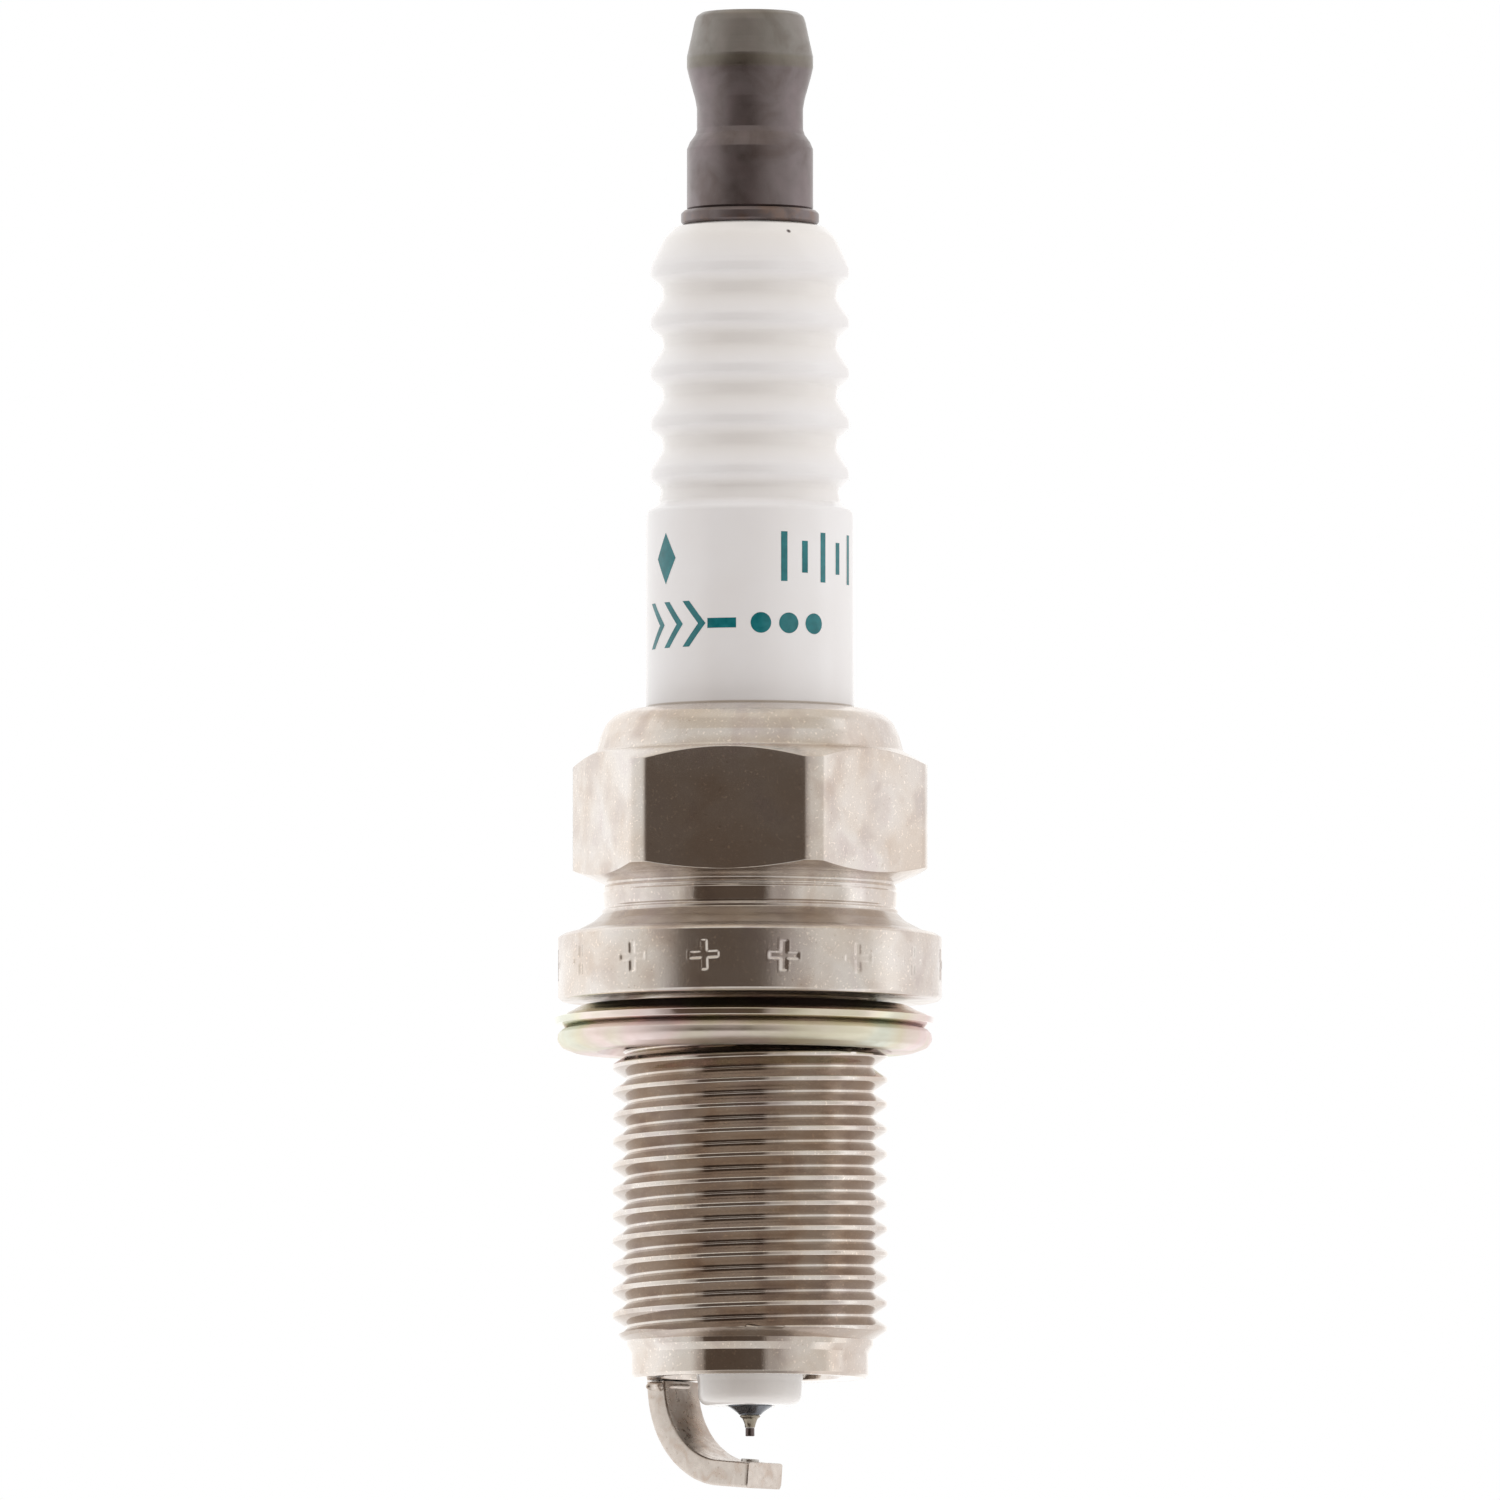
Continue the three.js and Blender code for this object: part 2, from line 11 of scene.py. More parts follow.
import bpy
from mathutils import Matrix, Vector


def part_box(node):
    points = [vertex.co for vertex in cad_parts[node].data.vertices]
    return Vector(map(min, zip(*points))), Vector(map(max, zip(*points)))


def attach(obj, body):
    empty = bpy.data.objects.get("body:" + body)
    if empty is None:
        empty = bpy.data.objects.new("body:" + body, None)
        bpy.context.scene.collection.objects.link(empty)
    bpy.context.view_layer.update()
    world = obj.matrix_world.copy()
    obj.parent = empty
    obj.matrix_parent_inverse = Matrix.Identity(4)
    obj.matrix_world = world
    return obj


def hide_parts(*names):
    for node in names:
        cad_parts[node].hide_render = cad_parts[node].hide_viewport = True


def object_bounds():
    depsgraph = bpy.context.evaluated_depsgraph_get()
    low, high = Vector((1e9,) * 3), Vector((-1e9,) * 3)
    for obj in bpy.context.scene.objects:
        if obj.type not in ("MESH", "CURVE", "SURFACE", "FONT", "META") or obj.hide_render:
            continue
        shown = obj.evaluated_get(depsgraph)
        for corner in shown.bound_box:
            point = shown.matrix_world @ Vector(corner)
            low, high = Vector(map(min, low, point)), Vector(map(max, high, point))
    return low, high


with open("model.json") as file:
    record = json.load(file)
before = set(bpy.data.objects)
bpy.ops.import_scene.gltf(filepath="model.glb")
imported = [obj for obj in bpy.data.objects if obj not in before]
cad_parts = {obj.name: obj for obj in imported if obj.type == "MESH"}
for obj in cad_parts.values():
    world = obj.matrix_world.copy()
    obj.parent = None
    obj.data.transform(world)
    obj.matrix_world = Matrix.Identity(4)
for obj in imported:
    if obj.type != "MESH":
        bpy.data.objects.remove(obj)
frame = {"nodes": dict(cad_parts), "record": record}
CAD_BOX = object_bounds()
RECORD = frame["record"]
MM = 0.001
DEGREE = math.pi / 180


def span(node):
    """A CAD node's lowest and highest corner, in millimetres."""
    low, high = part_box(node)
    return low / MM, high / MM


# ------------------------------------------------ sizes

COLUMNS = 288  # points round the shell
FINE = 3  # the flange's stamped band has this many times more
STAMP_ROWS = 44

PITCH = 1.25
THREAD_CREST = 6.93
THREAD_ROOT = 6.23
THREAD_LOW = -17.15
THREAD_HIGH = -2.35
THREAD_START = -2.74  # the height of one crest at +X
SHELL_LOW = span("metal_shell")[0].z
SHELL_HIGH = span("metal_shell")[1].z
PILOT_RADIUS = 5.97
PILOT_TOP = -17.76
FLANGE_RADIUS = span("metal_shell")[1].x
BAND_LOW = 0.2
BAND_HIGH = 3.14
NECK_RADIUS = 7.41
HALF_FLATS = 8.0
HEX_CORNER = 8.97
HEX_TURN = -9.1 * DEGREE  # the nearest flat's normal, from the front, positive to +X
LOWER_CHAMFER = (7.95, 6.17)
UPPER_CHAMFER = (7.9, 12.41)
LOWER_BEVEL = 22 * DEGREE
UPPER_BEVEL = 30 * DEGREE

STAMP_COUNT = 15
STAMP_FIRST = 10.2 * DEGREE  # one stamp's place, from the front, positive to +X
STAMP_Z = 1.74
STAMP_ARM = 0.78
STAMP_HALF_WIDTH = 0.19
STAMP_WALL = 0.08
STAMP_DEPTH = 0.055

INSULATOR_LOW = span("ceramic_insulator")[0].z
INSULATOR_HIGH = span("ceramic_insulator")[1].z
BARREL_RADIUS = 5.25
BARREL_TOP = 24.6
RIB_CREST = 5.03
RIB_VALLEY = 4.38
RIB_PITCH = 2.55
RIB_COUNT = 5
TOP_RIB_Z = 36.7
NOSE_RADIUS = 2.6
GLAZE_SPECK = (1.9, -3.7, 38.42)  # an iron speck in the glaze of the top cone

NUT_LOW = span("terminal_nut")[0].z
NUT_HIGH = span("terminal_nut")[1].z
NUT_RADIUS = span("terminal_nut")[1].x
STUD_HIGH = span("terminal_stud")[1].z
STUD_FLANGE = span("terminal_stud")[1].x

PIN_LOW = span("iridium_tip")[0].z
PIN_RADIUS = span("iridium_tip")[1].x
WELD_LOW = span("tip_weld")[0].z
CONE_LOW = span("centre_electrode")[0].z
PAD_LOW, PAD_HIGH = (corner.z for corner in span("platinum_pad"))
GASKET_CENTRE = (span("crush_gasket")[0].x + span("crush_gasket")[1].x) / 2

STRAP_TURN = 42 * DEGREE
STRAP_WIDTH = 2.6
STRAP_THICKNESS = 1.3
STRAP_ROOT_U = -5.22
STRAP_TIP_U = 0.95
LEG_START_U = -1.2
LEG_FALL = 5 * DEGREE


# ------------------------------------------------ outline and mesh helpers


def rounded(outline, default=0.06, steps=3):
    """The outline with every inner corner rounded. A point's third number is its own radius."""
    result = [outline[0][:2]]
    for before, corner, after in zip(outline, outline[1:], outline[2:]):
        radius = corner[2] if len(corner) > 2 else default
        here = Vector(corner[:2])
        to_before = Vector(before[:2]) - here
        to_after = Vector(after[:2]) - here
        half_angle = to_before.angle(to_after) / 2
        reach = radius / max(math.tan(half_angle), 1e-3)
        reach = min(reach, 0.48 * to_before.length, 0.48 * to_after.length)
        start = here + to_before.normalized() * reach
        end = here + to_after.normalized() * reach
        for step in range(steps + 1):
            t = step / steps
            point = start * (1 - t) ** 2 + here * (2 * t * (1 - t)) + end * t**2
            result.append((point.x, point.y))
    result.append(outline[-1][:2])
    return result


def column_angle(index, columns):
    """The angle of a column of vertices. Column 0 is at the back, and they run anticlockwise from above."""
    return math.pi / 2 + 2 * math.pi * index / columns


def from_front(angle):
    """An angle in the XY plane as the turn from the front, positive to +X, from -pi to pi."""
    return math.remainder(angle + math.pi / 2, 2 * math.pi)


class Skin:
    """A mesh of closed loops of vertices round Z, up the outside and then down the inside."""

    def __init__(self):
        self.vertices = []
        self.faces = []

    def point(self, radius, angle, z):
        self.vertices.append((radius * math.cos(angle) * MM, radius * math.sin(angle) * MM, z * MM))
        return len(self.vertices) - 1

    def loop(self, place, columns=COLUMNS):
        """A closed loop. place(angle) gives the radius and height there."""
        loop = []
        for index in range(columns):
            angle = column_angle(index, columns)
            radius, z = place(angle)
            loop.append(self.point(radius, angle, z))
        return loop

    def ring(self, radius, z, columns=COLUMNS):
        return self.loop(lambda angle: (radius, z), columns)

    def bridge(self, below, above):
        """Joins two loops, one of which may have a whole number of times more points than the other."""
        few = min(len(below), len(above))
        low_step = len(below) // few
        high_step = len(above) // few
        for index in range(few):
            low = [below[(index * low_step + k) % len(below)] for k in range(low_step + 1)]
            high = [above[(index * high_step + k) % len(above)] for k in range(high_step + 1)]
            self.faces.append(low + high[::-1])

    def stack(self, loops):
        for below, above in zip(loops, loops[1:]):
            self.bridge(below, above)

    def tip(self, loop, z, upwards):
        """Closes a loop with a fan of triangles to a point on the axis."""
        centre = self.point(0, 0, z)
        for here, there in zip(loop, loop[1:] + loop[:1]):
            self.faces.append([here, there, centre] if upwards else [there, here, centre])

    def build(self, name, sharp=38):
        return mesh_object(name, self.vertices, self.faces, sharp)


def mesh_object(name, vertices, faces, sharp=38):
    """A smooth-shaded object. Edges sharper than that many degrees stay crisp, and wide faces stay flat."""
    mesh = bpy.data.meshes.new(name)
    mesh.from_pydata(vertices, [], faces)
    mesh.validate()
    mesh.polygons.foreach_set("use_smooth", [True] * len(mesh.polygons))
    mesh.set_sharp_from_angle(angle=sharp * DEGREE)
    piece = bpy.data.objects.new(name, mesh)
    bpy.context.scene.collection.objects.link(piece)
    flatten = piece.modifiers.new("flatten", "WEIGHTED_NORMAL")
    flatten.keep_sharp = True
    return piece


def turned(name, outline, columns=144, wobble=None):
    """A turned solid. Its outline starts and ends on the axis, or is a ring that comes back to its start."""
    skin = Skin()
    closed = outline[0][:2] == outline[-1][:2]
    body = outline[:-1] if closed else outline[1:-1]
    change = wobble or (lambda radius, z, angle: (radius, z))
    loops = [skin.loop(lambda angle, r=r, z=z: change(r, z, angle), columns) for r, z in body]
    if closed:
        loops.append(loops[0])
    skin.stack(loops)
    if not closed:
        skin.tip(loops[0], outline[0][1], upwards=False)
        skin.tip(loops[-1], outline[-1][1], upwards=True)
    return skin.build(name)


def stand_for(piece, node, material):
    """The piece takes a CAD node's place: its body and its material."""
    body = next(name for name, nodes in RECORD["behaviour"]["bodies"].items() if node in nodes)
    piece.data.materials.clear()
    piece.data.materials.append(material)
    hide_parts(node)
    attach(piece, body)
    return piece


# ------------------------------------------------ threads

# A rolled thread from the middle of its narrow root to the edge of its flat crest, as (share of the pitch,
# share of the height), and then the whole pitch.
HALF_THREAD = [
    (0.0, 0.0),
    (0.035, 0.0),
    (0.07, 0.05),
    (0.12, 0.19),
    (0.25, 0.54),
    (0.395, 0.93),
    (0.42, 0.98),
    (0.45, 1.0),
]
THREAD_SECTION = HALF_THREAD + [(1 - share, height) for share, height in HALF_THREAD[:0:-1]]
RUNOUT_SLOPE = 1.5  # the crest falls to the root over a cone of this slope at both ends


def thread_loops(skin, root, crest, pitch, low, high, start, columns, ragged=0.0):
    """A right-hand thread whose rows follow the helix. start is a crest's height at +X.

    Each column holds the rows that lie between the plain loops at the bottom and the top, which are returned.
    """
    rows = len(THREAD_SECTION)
    draw = random.Random(7)
    waves = [(draw.uniform(3, 17), draw.uniform(0, 6.3), draw.uniform(0.2, 1)) for _ in range(6)]
    bottom = skin.ring(root, low, columns)
    top = skin.ring(root, high, columns)
    back_foot = start + pitch * (0.25 - 0.5)  # row 0 of column 0, a quarter turn on from +X
    margin = 0.01

    def row_z(column, row):
        return back_foot + pitch * (row // rows + THREAD_SECTION[row % rows][0] + column / columns)

    grid = []
    for column in range(columns):
        angle = column_angle(column, columns)
        points = {}
        row = math.floor((low - back_foot) / pitch - 2) * rows
        while row_z(column, row) < high - margin:
            z = row_z(column, row)
            if z > low + margin:
                turn = row // rows + column / columns
                wave = sum(size * math.sin(rate * turn + begin) for rate, begin, size in waves)
                height = THREAD_SECTION[row % rows][1]
                full = root + (crest - root) * height + ragged * wave * height * height
                cone = root + RUNOUT_SLOPE * min(z - low, high - z)
                points[row] = skin.point(min(full, cone), angle, z)
            row += 1
        grid.append(points)
    for column in range(columns):
        beside = (column + 1) % columns
        lift = rows if beside == 0 else 0  # past the back, a row is one turn further on
        here, there = grid[column], {row - lift: point for row, point in grid[beside].items()}
        common = sorted(here.keys() & there.keys())
        for row in common[:-1]:
            skin.faces.append([here[row], there[row], there[row + 1], here[row + 1]])
        foot = [there[row] for row in sorted(there) if row <= common[0]]
        foot += [here[row] for row in sorted(here, reverse=True) if row <= common[0]]
        skin.faces.append([bottom[column], bottom[beside], *foot])
        head = [here[row] for row in sorted(here, reverse=True) if row >= common[-1]]
        head += [there[row] for row in sorted(there) if row >= common[-1]]
        skin.faces.append([top[beside], top[column], *head])
    return bottom, top


# ------------------------------------------------ metal shell


def hex_radius(angle):
    """The hexagon's radius at an angle: flats, with turned corners blended in over a short stretch."""
    turn = math.remainder(from_front(angle) - HEX_TURN, math.pi / 3)
    flat = HALF_FLATS / math.cos(turn)
    blend = 0.02
    return -blend * math.log(math.exp(-flat / blend) + math.exp(-HEX_CORNER / blend))


def hex_outline(angle):
    """The hexagon's outline at an angle, from the lower chamfer's foot to the upper one's top."""
    radius = hex_radius(angle)
    low_radius, low_z = LOWER_CHAMFER
    high_radius, high_z = UPPER_CHAMFER
    low_crease = low_z + (radius - low_radius) * math.tan(LOWER_BEVEL)
    high_crease = high_z - (radius - high_radius) * math.tan(UPPER_BEVEL)
    return rounded(
        [
            (7.75, 6.06),
            (low_radius, low_z),
            (radius, low_crease),
            (radius, (low_crease + high_crease) / 2),
            (radius, high_crease),
            (high_radius, high_z),
            (7.74, 12.5),
        ],
        default=0.07,
    )


STAMP_DRAW = random.Random(3)
STAMPS = [
    {
        "angle": STAMP_FIRST + index * 2 * math.pi / STAMP_COUNT,
        "tilt": STAMP_DRAW.uniform(-0.05, 0.05),
        "lift": STAMP_DRAW.uniform(-0.06, 0.06),
        "across": STAMP_DRAW.uniform(0.85, 1.1),
        "upright": STAMP_DRAW.uniform(0.85, 1.1),
    }
    for index in range(STAMP_COUNT)
]


def stamp_depth(angle, z):
    """How deep the nearest plus-shaped stamp cuts at a point of the flange's band."""
    place = from_front(angle)
    stamp = min(STAMPS, key=lambda s: abs(math.remainder(place - s["angle"], 2 * math.pi)))
    across = math.remainder(place - stamp["angle"], 2 * math.pi) * FLANGE_RADIUS
    up = z - STAMP_Z - stamp["lift"]
    along = across + up * stamp["tilt"]
    height = up - across * stamp["tilt"]
    if abs(along) > 2 * STAMP_ARM or abs(height) > 2 * STAMP_ARM:
        return 0

    def groove(offset, reach):
        inside = min(STAMP_HALF_WIDTH - abs(offset), STAMP_ARM - abs(reach)) / STAMP_WALL
        raised_lip = 0.25 * max(0, 1 - abs(inside + 0.6) / 0.6)
        return max(0, min(1, inside)) - raised_lip

    cuts = (stamp["across"] * groove(height, along), stamp["upright"] * groove(along, height))
    return STAMP_DEPTH * (max(cuts) if max(cuts) > 0 else min(cuts))


def shell_foot(skin):
    """Loops from the mouth of the nose chamber round the end ring to the thread."""
    outline = rounded([
        (4.45, SHELL_LOW + 0.5),
        (4.52, SHELL_LOW + 0.05, 0.1),
        (5.8, SHELL_LOW),
        (PILOT_RADIUS, SHELL_LOW + 0.16),
        (PILOT_RADIUS, PILOT_TOP, 0.04),
        (THREAD_ROOT - 0.02, PILOT_TOP + 0.36, 0.04),
        (THREAD_ROOT, THREAD_LOW - 0.04),
    ])
    return [skin.ring(radius, z) for radius, z in outline]


def shell_undercut():
    return rounded([
        (THREAD_ROOT, THREAD_HIGH + 0.05),
        (THREAD_ROOT, 0, 0.25),
        (FLANGE_RADIUS - 0.15, 0, 0.08),
        (FLANGE_RADIUS - 0.01, BAND_LOW - 0.05, 0.08),
    ])


def flange_band(skin):
    """The stamped band, with FINE times as many columns as the rest of the shell."""
    loops = []
    for row in range(STAMP_ROWS + 1):
        z = BAND_LOW + (BAND_HIGH - BAND_LOW) * row / STAMP_ROWS
        loops.append(skin.loop(lambda angle, z=z: (FLANGE_RADIUS - stamp_depth(angle, z), z), COLUMNS * FINE))
    return loops


def shell_shoulder():
    return rounded([
        (FLANGE_RADIUS - 0.02, BAND_HIGH + 0.03, 0.04),
        (FLANGE_RADIUS - 0.3, BAND_HIGH + 0.2, 0.08),
        (8.7, 3.5, 0.5),
        (7.85, 3.95, 0.6),
        (NECK_RADIUS - 0.01, 4.36, 0.1),
        (NECK_RADIUS + 0.02, 4.5, 0.06),
        (7.3, 4.6, 0.05),
        (NECK_RADIUS - 0.04, 4.72, 0.1),
        (NECK_RADIUS - 0.02, 5.1, 0.8),
        (NECK_RADIUS + 0.03, 5.36, 0.1),
        (NECK_RADIUS - 0.04, 5.49, 0.05),
        (NECK_RADIUS + 0.03, 5.6, 0.07),
        (7.28, 5.76, 0.06),
        (7.32, 5.88, 0.1),
        (7.66, 6.02, 0.1),
        (7.7, 6.04),
    ])


def shell_lip_and_bore():
    """The rolled lip, then down the inside to the mouth of the nose chamber."""
    bore = 6.5
    return rounded([
        (7.7, 12.56),
        (7.52, 13.25, 0.8),
        (7.22, 13.93, 0.9),
        (6.78, 14.33, 0.7),
        (6.2, 14.56, 0.6),
        (5.55, SHELL_HIGH - 0.12, 0.2),
        (5.36, SHELL_HIGH - 0.17, 0.08),
        (5.31, 14.4),
        (5.31, 13.6),
        (6.2, 13.38),
        (bore, 12.95),
        (bore, 4.6),
        (4.45, 3.2),
        (4.45, -13.74),
        (3.75, -14.15),
        (3.75, -15.1),
        (4.45, -15.6),
        (4.45, SHELL_LOW + 0.6),
    ])


def metal_shell():
    skin = Skin()
    foot = shell_foot(skin)
    bottom, top = thread_loops(
        skin, THREAD_ROOT, THREAD_CREST, PITCH, THREAD_LOW, THREAD_HIGH, THREAD_START, COLUMNS, ragged=0.008
    )
    undercut = [skin.ring(radius, z) for radius, z in shell_undercut()]
    shoulder = [skin.ring(radius, z) for radius, z in shell_shoulder()]
    rows = len(hex_outline(0))
    hexagon = [skin.loop(lambda angle, row=row: hex_outline(angle)[row]) for row in range(rows)]
    inside = [skin.ring(radius, z) for radius, z in shell_lip_and_bore()]
    skin.stack([*foot, bottom])
    skin.stack([top, *undercut, *flange_band(skin), *shoulder, *hexagon, *inside, foot[0]])
    return skin.build("shell_plated", sharp=50)


# ------------------------------------------------ insulator and its print


def ribs():
    """The ribs, from the lowest up: round crests with a short underside and a longer slope above."""
    outline = []
    for index in range(RIB_COUNT):
        crest_z = TOP_RIB_Z - (RIB_COUNT - 1 - index) * RIB_PITCH
        outline += [
            (RIB_VALLEY - 0.02, crest_z - 1.3, 0.5),
            (RIB_VALLEY + 0.06, crest_z - 0.75, 0.35),
            (RIB_CREST + 0.02, crest_z - 0.27, 0.3),
            (RIB_CREST, crest_z + 0.2, 0.5),
        ]
    return outline


def ceramic_insulator():
    bore = 1.15
    stem = 1.95
    lower = rounded([
        (bore, INSULATOR_LOW + 0.1),
        (bore + 0.12, INSULATOR_LOW, 0.05),
        (NOSE_RADIUS - 0.02, INSULATOR_LOW, 0.62),
        (NOSE_RADIUS + 0.03, INSULATOR_LOW + 1.2, 1.0),
        (3.3, -15, 0.6),
        (3.3, -14.0),
        (4.25, -13.45, 0.2),
        (4.25, 2.9, 0.5),
        (4.45, 3.55, 0.4),
        (6.35, 5.1, 0.4),
        (6.35, 9, 0.4),
        (BARREL_RADIUS, 9.8, 0.4),
        (BARREL_RADIUS, BARREL_TOP - 0.7),
    ], steps=5)
    upper = rounded([
        (BARREL_RADIUS, BARREL_TOP - 0.65),
        (BARREL_RADIUS - 0.02, BARREL_TOP, 0.35),
        (4.6, BARREL_TOP + 0.42, 0.3),
        *ribs()[1:],
        (4.92, TOP_RIB_Z + 0.5, 0.6),
        (4.3, 38.45, 1.2),
        (3.78, INSULATOR_HIGH - 0.1, 0.3),
        (3.4, INSULATOR_HIGH),
    ], steps=8)
    inside = [
        (stem + 0.1, INSULATOR_HIGH),
        (stem, INSULATOR_HIGH - 0.1),
        (stem, -4.3),
        (bore, -4.7),
        (bore, INSULATOR_LOW + 0.1),
    ]
    return turned("insulator_glazed", lower + upper + inside, columns=192)


def wrapped(skin, left, right):
    """A printed patch on the barrel between two lines of (arc length, z), both listed upwards."""
    steps = 10
    lift = 0.008
    rows = []
    for (left_s, left_z), (right_s, right_z) in zip(left, right):
        row = []
        for step in range(steps + 1):
            t = step / steps
            angle = (left_s + (right_s - left_s) * t) / BARREL_RADIUS - math.pi / 2
            row.append(skin.point(BARREL_RADIUS + lift, angle, left_z + (right_z - left_z) * t))
        rows.append(row)
    for below, above in zip(rows, rows[1:]):
        for k in range(steps):
            skin.faces.append([below[k], below[k + 1], above[k + 1], above[k]])


def mirrored(skin, s, edge):
    """A mark with the same edge on both sides of its middle, listed upwards as (half width, z)."""
    wrapped(skin, [(s - half, z) for half, z in edge], [(s + half, z) for half, z in edge])


def printed_bar(skin, s, z, width, height):
    mirrored(skin, s, [(width / 2, z - height / 2), (width / 2, z + height / 2)])


def printed_dot(skin, s, z, radius):
    steps = 24
    angles = [math.pi * (k / steps - 0.5) for k in range(steps + 1)]
    mirrored(skin, s, [(radius * math.cos(a), z + radius * math.sin(a)) for a in angles])


def upward_shares():
    """Steps from -1 to 1, over a mark's height."""
    steps = 16
    return [k / steps for k in range(-steps, steps + 1)]


def printed_chevron(skin, s, z, width, height, stroke):
    """An arrow head that points to +X, as one strip."""
    shares = upward_shares()
    edge = [(s + width * (0.5 - abs(share)), z + height / 2 * share) for share in shares]
    wrapped(skin, edge, [(x + stroke, y) for x, y in edge])


def printed_lozenge(skin, s, z, width, height):
    shares = upward_shares()
    mirrored(skin, s, [(width / 2 * (1 - abs(share)), z + height / 2 * share) for share in shares])


def print_marks():
    """Generic marks in two rows, in place of lettering, and the same again on the far side."""
    skin = Skin()
    upper_z, lower_z = 22.05, 18.7
    half_way = math.pi * BARREL_RADIUS
    for side in (0, half_way):
        printed_lozenge(skin, side - 4.9, upper_z, 1.5, 2.6)
        for index in range(5):
            printed_bar(skin, side + 1.75 + 1.15 * index, upper_z, 0.34, 2.5 - 0.9 * (index % 2))
        for index in range(3):
            printed_chevron(skin, side - 5.9 + 1.35 * index, lower_z, 0.95, 2.3, 0.42)
        printed_bar(skin, side - 1.45, lower_z, 1.5, 0.5)
        for index in range(3):
            printed_dot(skin, side + 0.55 + 1.45 * index, lower_z, 0.52)
    return skin.build("insulator_print")


# ------------------------------------------------ terminal


def terminal_nut():
    """The SAE terminal: bulb, waist and skirt outside, and a blind bore with its chamfered mouth inside."""
    bore = 2.05
    outside = rounded([
        (bore, NUT_LOW + 0.6),
        (bore, NUT_LOW + 0.1),
        (bore + 0.15, NUT_LOW, 0.05),
        (NUT_RADIUS - 0.07, NUT_LOW, 0.03),
        (NUT_RADIUS, NUT_LOW + 0.08, 0.05),
        (NUT_RADIUS, 42.9, 0.2),
        (NUT_RADIUS - 0.15, 43.25, 0.15),
        (2.76, 43.62, 0.2),
        (2.67, 43.9, 0.2),
        (2.67, 44.95, 1.2),
        (2.76, 45.45, 1.5),
        (3.08, 46.6, 1.5),
        (NUT_RADIUS, 47.0, 0.5),
        (NUT_RADIUS, 47.58, 0.12),
        (2.98, 48.45, 1.2),
        (2.8, 49.3, 0.8),
        (2.7, 49.6, 0.25),
        (2.42, NUT_HIGH, 0.2),
        (1.5, NUT_HIGH),
    ], steps=5)
    inside = [(1.5, STUD_HIGH + 0.7), (bore, STUD_HIGH + 0.3)]
    return turned("nut_turned", [(0, STUD_HIGH + 0.9), *inside, *outside, (0, NUT_HIGH)])


def terminal_stud():
    skin = Skin()
    columns = 96
    root, crest, pitch = 1.55, 1.97, 0.7
    flange_low = INSULATOR_HIGH + 0.03
    flange_high = NUT_LOW - 0.03
    lower = rounded([
        (0.6, 15),
        (1.2, 15, 0.1),
        (1.45, 15.3),
        (1.45, 18.5),
        (1.85, 18.8),
        (1.85, flange_low - 0.1, 0.1),
        (STUD_FLANGE - 0.14, flange_low, 0.1),
        (STUD_FLANGE, flange_low + 0.14, 0.12),
        (STUD_FLANGE, flange_high - 0.16, 0.12),
        (STUD_FLANGE - 0.16, flange_high, 0.1),
        (root + 0.1, flange_high, 0.1),
        (root, flange_high + 0.1),
    ])
    low = [skin.ring(radius, z, columns) for radius, z in lower]
    bottom, top = thread_loops(
        skin, root, crest, pitch, flange_high + 0.15, STUD_HIGH - 0.3, STUD_HIGH - 0.5, columns
    )
    end = [skin.ring(radius, z, columns) for radius, z in rounded([
        (root, STUD_HIGH - 0.25),
        (root - 0.25, STUD_HIGH, 0.05),
        (0.5, STUD_HIGH),
    ])]
    skin.stack([*low, bottom])
    skin.stack([top, *end])
    skin.tip(low[0], 15, upwards=False)
    skin.tip(end[-1], STUD_HIGH, upwards=True)
    return skin.build("stud_threaded")


# ------------------------------------------------ firing end


def centre_electrode():
    """The nickel electrode, whose end draws in to the weld on a hollow curve."""
    foot, waist = 1.1, 0.55
    top = INSULATOR_LOW - 0.04
    hollow = []
    for step in range(9):
        angle = step / 8 * math.pi / 2
        radius = foot - (foot - waist) * math.cos(angle)
        hollow.append((radius, CONE_LOW + (top - CONE_LOW) * (1 - math.cos(angle)) ** 0.8))
    return turned("electrode_turned", [
        (0, CONE_LOW),
        (0.3, CONE_LOW),
        *hollow,
        (foot, -4.64),
        (1.7, -4.14),
        (1.7, -3.4),
        (foot, -3.4),
        (foot, -2.4),
        (0.63, -2.4),
        (0.63, -18.6),
        (0.3, -18.9),
        (0, -19.0),
    ], columns=96)


def tip_weld():
    """The laser weld: a bulged ring where it melted, then a taper to the pin."""
    top = CONE_LOW - 0.02
    return turned("weld_cone", [
        (0, WELD_LOW),
        (PIN_RADIUS + 0.01, WELD_LOW),
        *rounded([
            (PIN_RADIUS + 0.02, WELD_LOW + 0.02),
            (0.28, WELD_LOW + 0.2, 0.2),
            (0.38, WELD_LOW + 0.45, 0.2),
            (0.52, top - 0.09, 0.06),
            (0.48, top),
        ]),
        (0, top),
    ], columns=72, wobble=lambda r, z, angle: (r + 0.008 * math.sin(9 * angle + 20 * z), z))


def iridium_tip():
    top = WELD_LOW - 0.02
    return turned("tip_pin", [
        (0, PIN_LOW),
        *rounded([(0.1, PIN_LOW), (PIN_RADIUS, PIN_LOW, 0.03), (PIN_RADIUS, top, 0.02), (0.1, top)]),
        (0, top),
    ], columns=64)


def leg_z(u):
    """The height of the strap's straight leg at its middle line."""
    return LEG_AXIS_Z - u * math.tan(LEG_FALL)


STRAP_ROOT_Z = span("ground_electrode")[1].z
LEG_AXIS_Z = PAD_LOW - 0.03 - STRAP_THICKNESS / 2 / math.cos(LEG_FALL) + 0.04


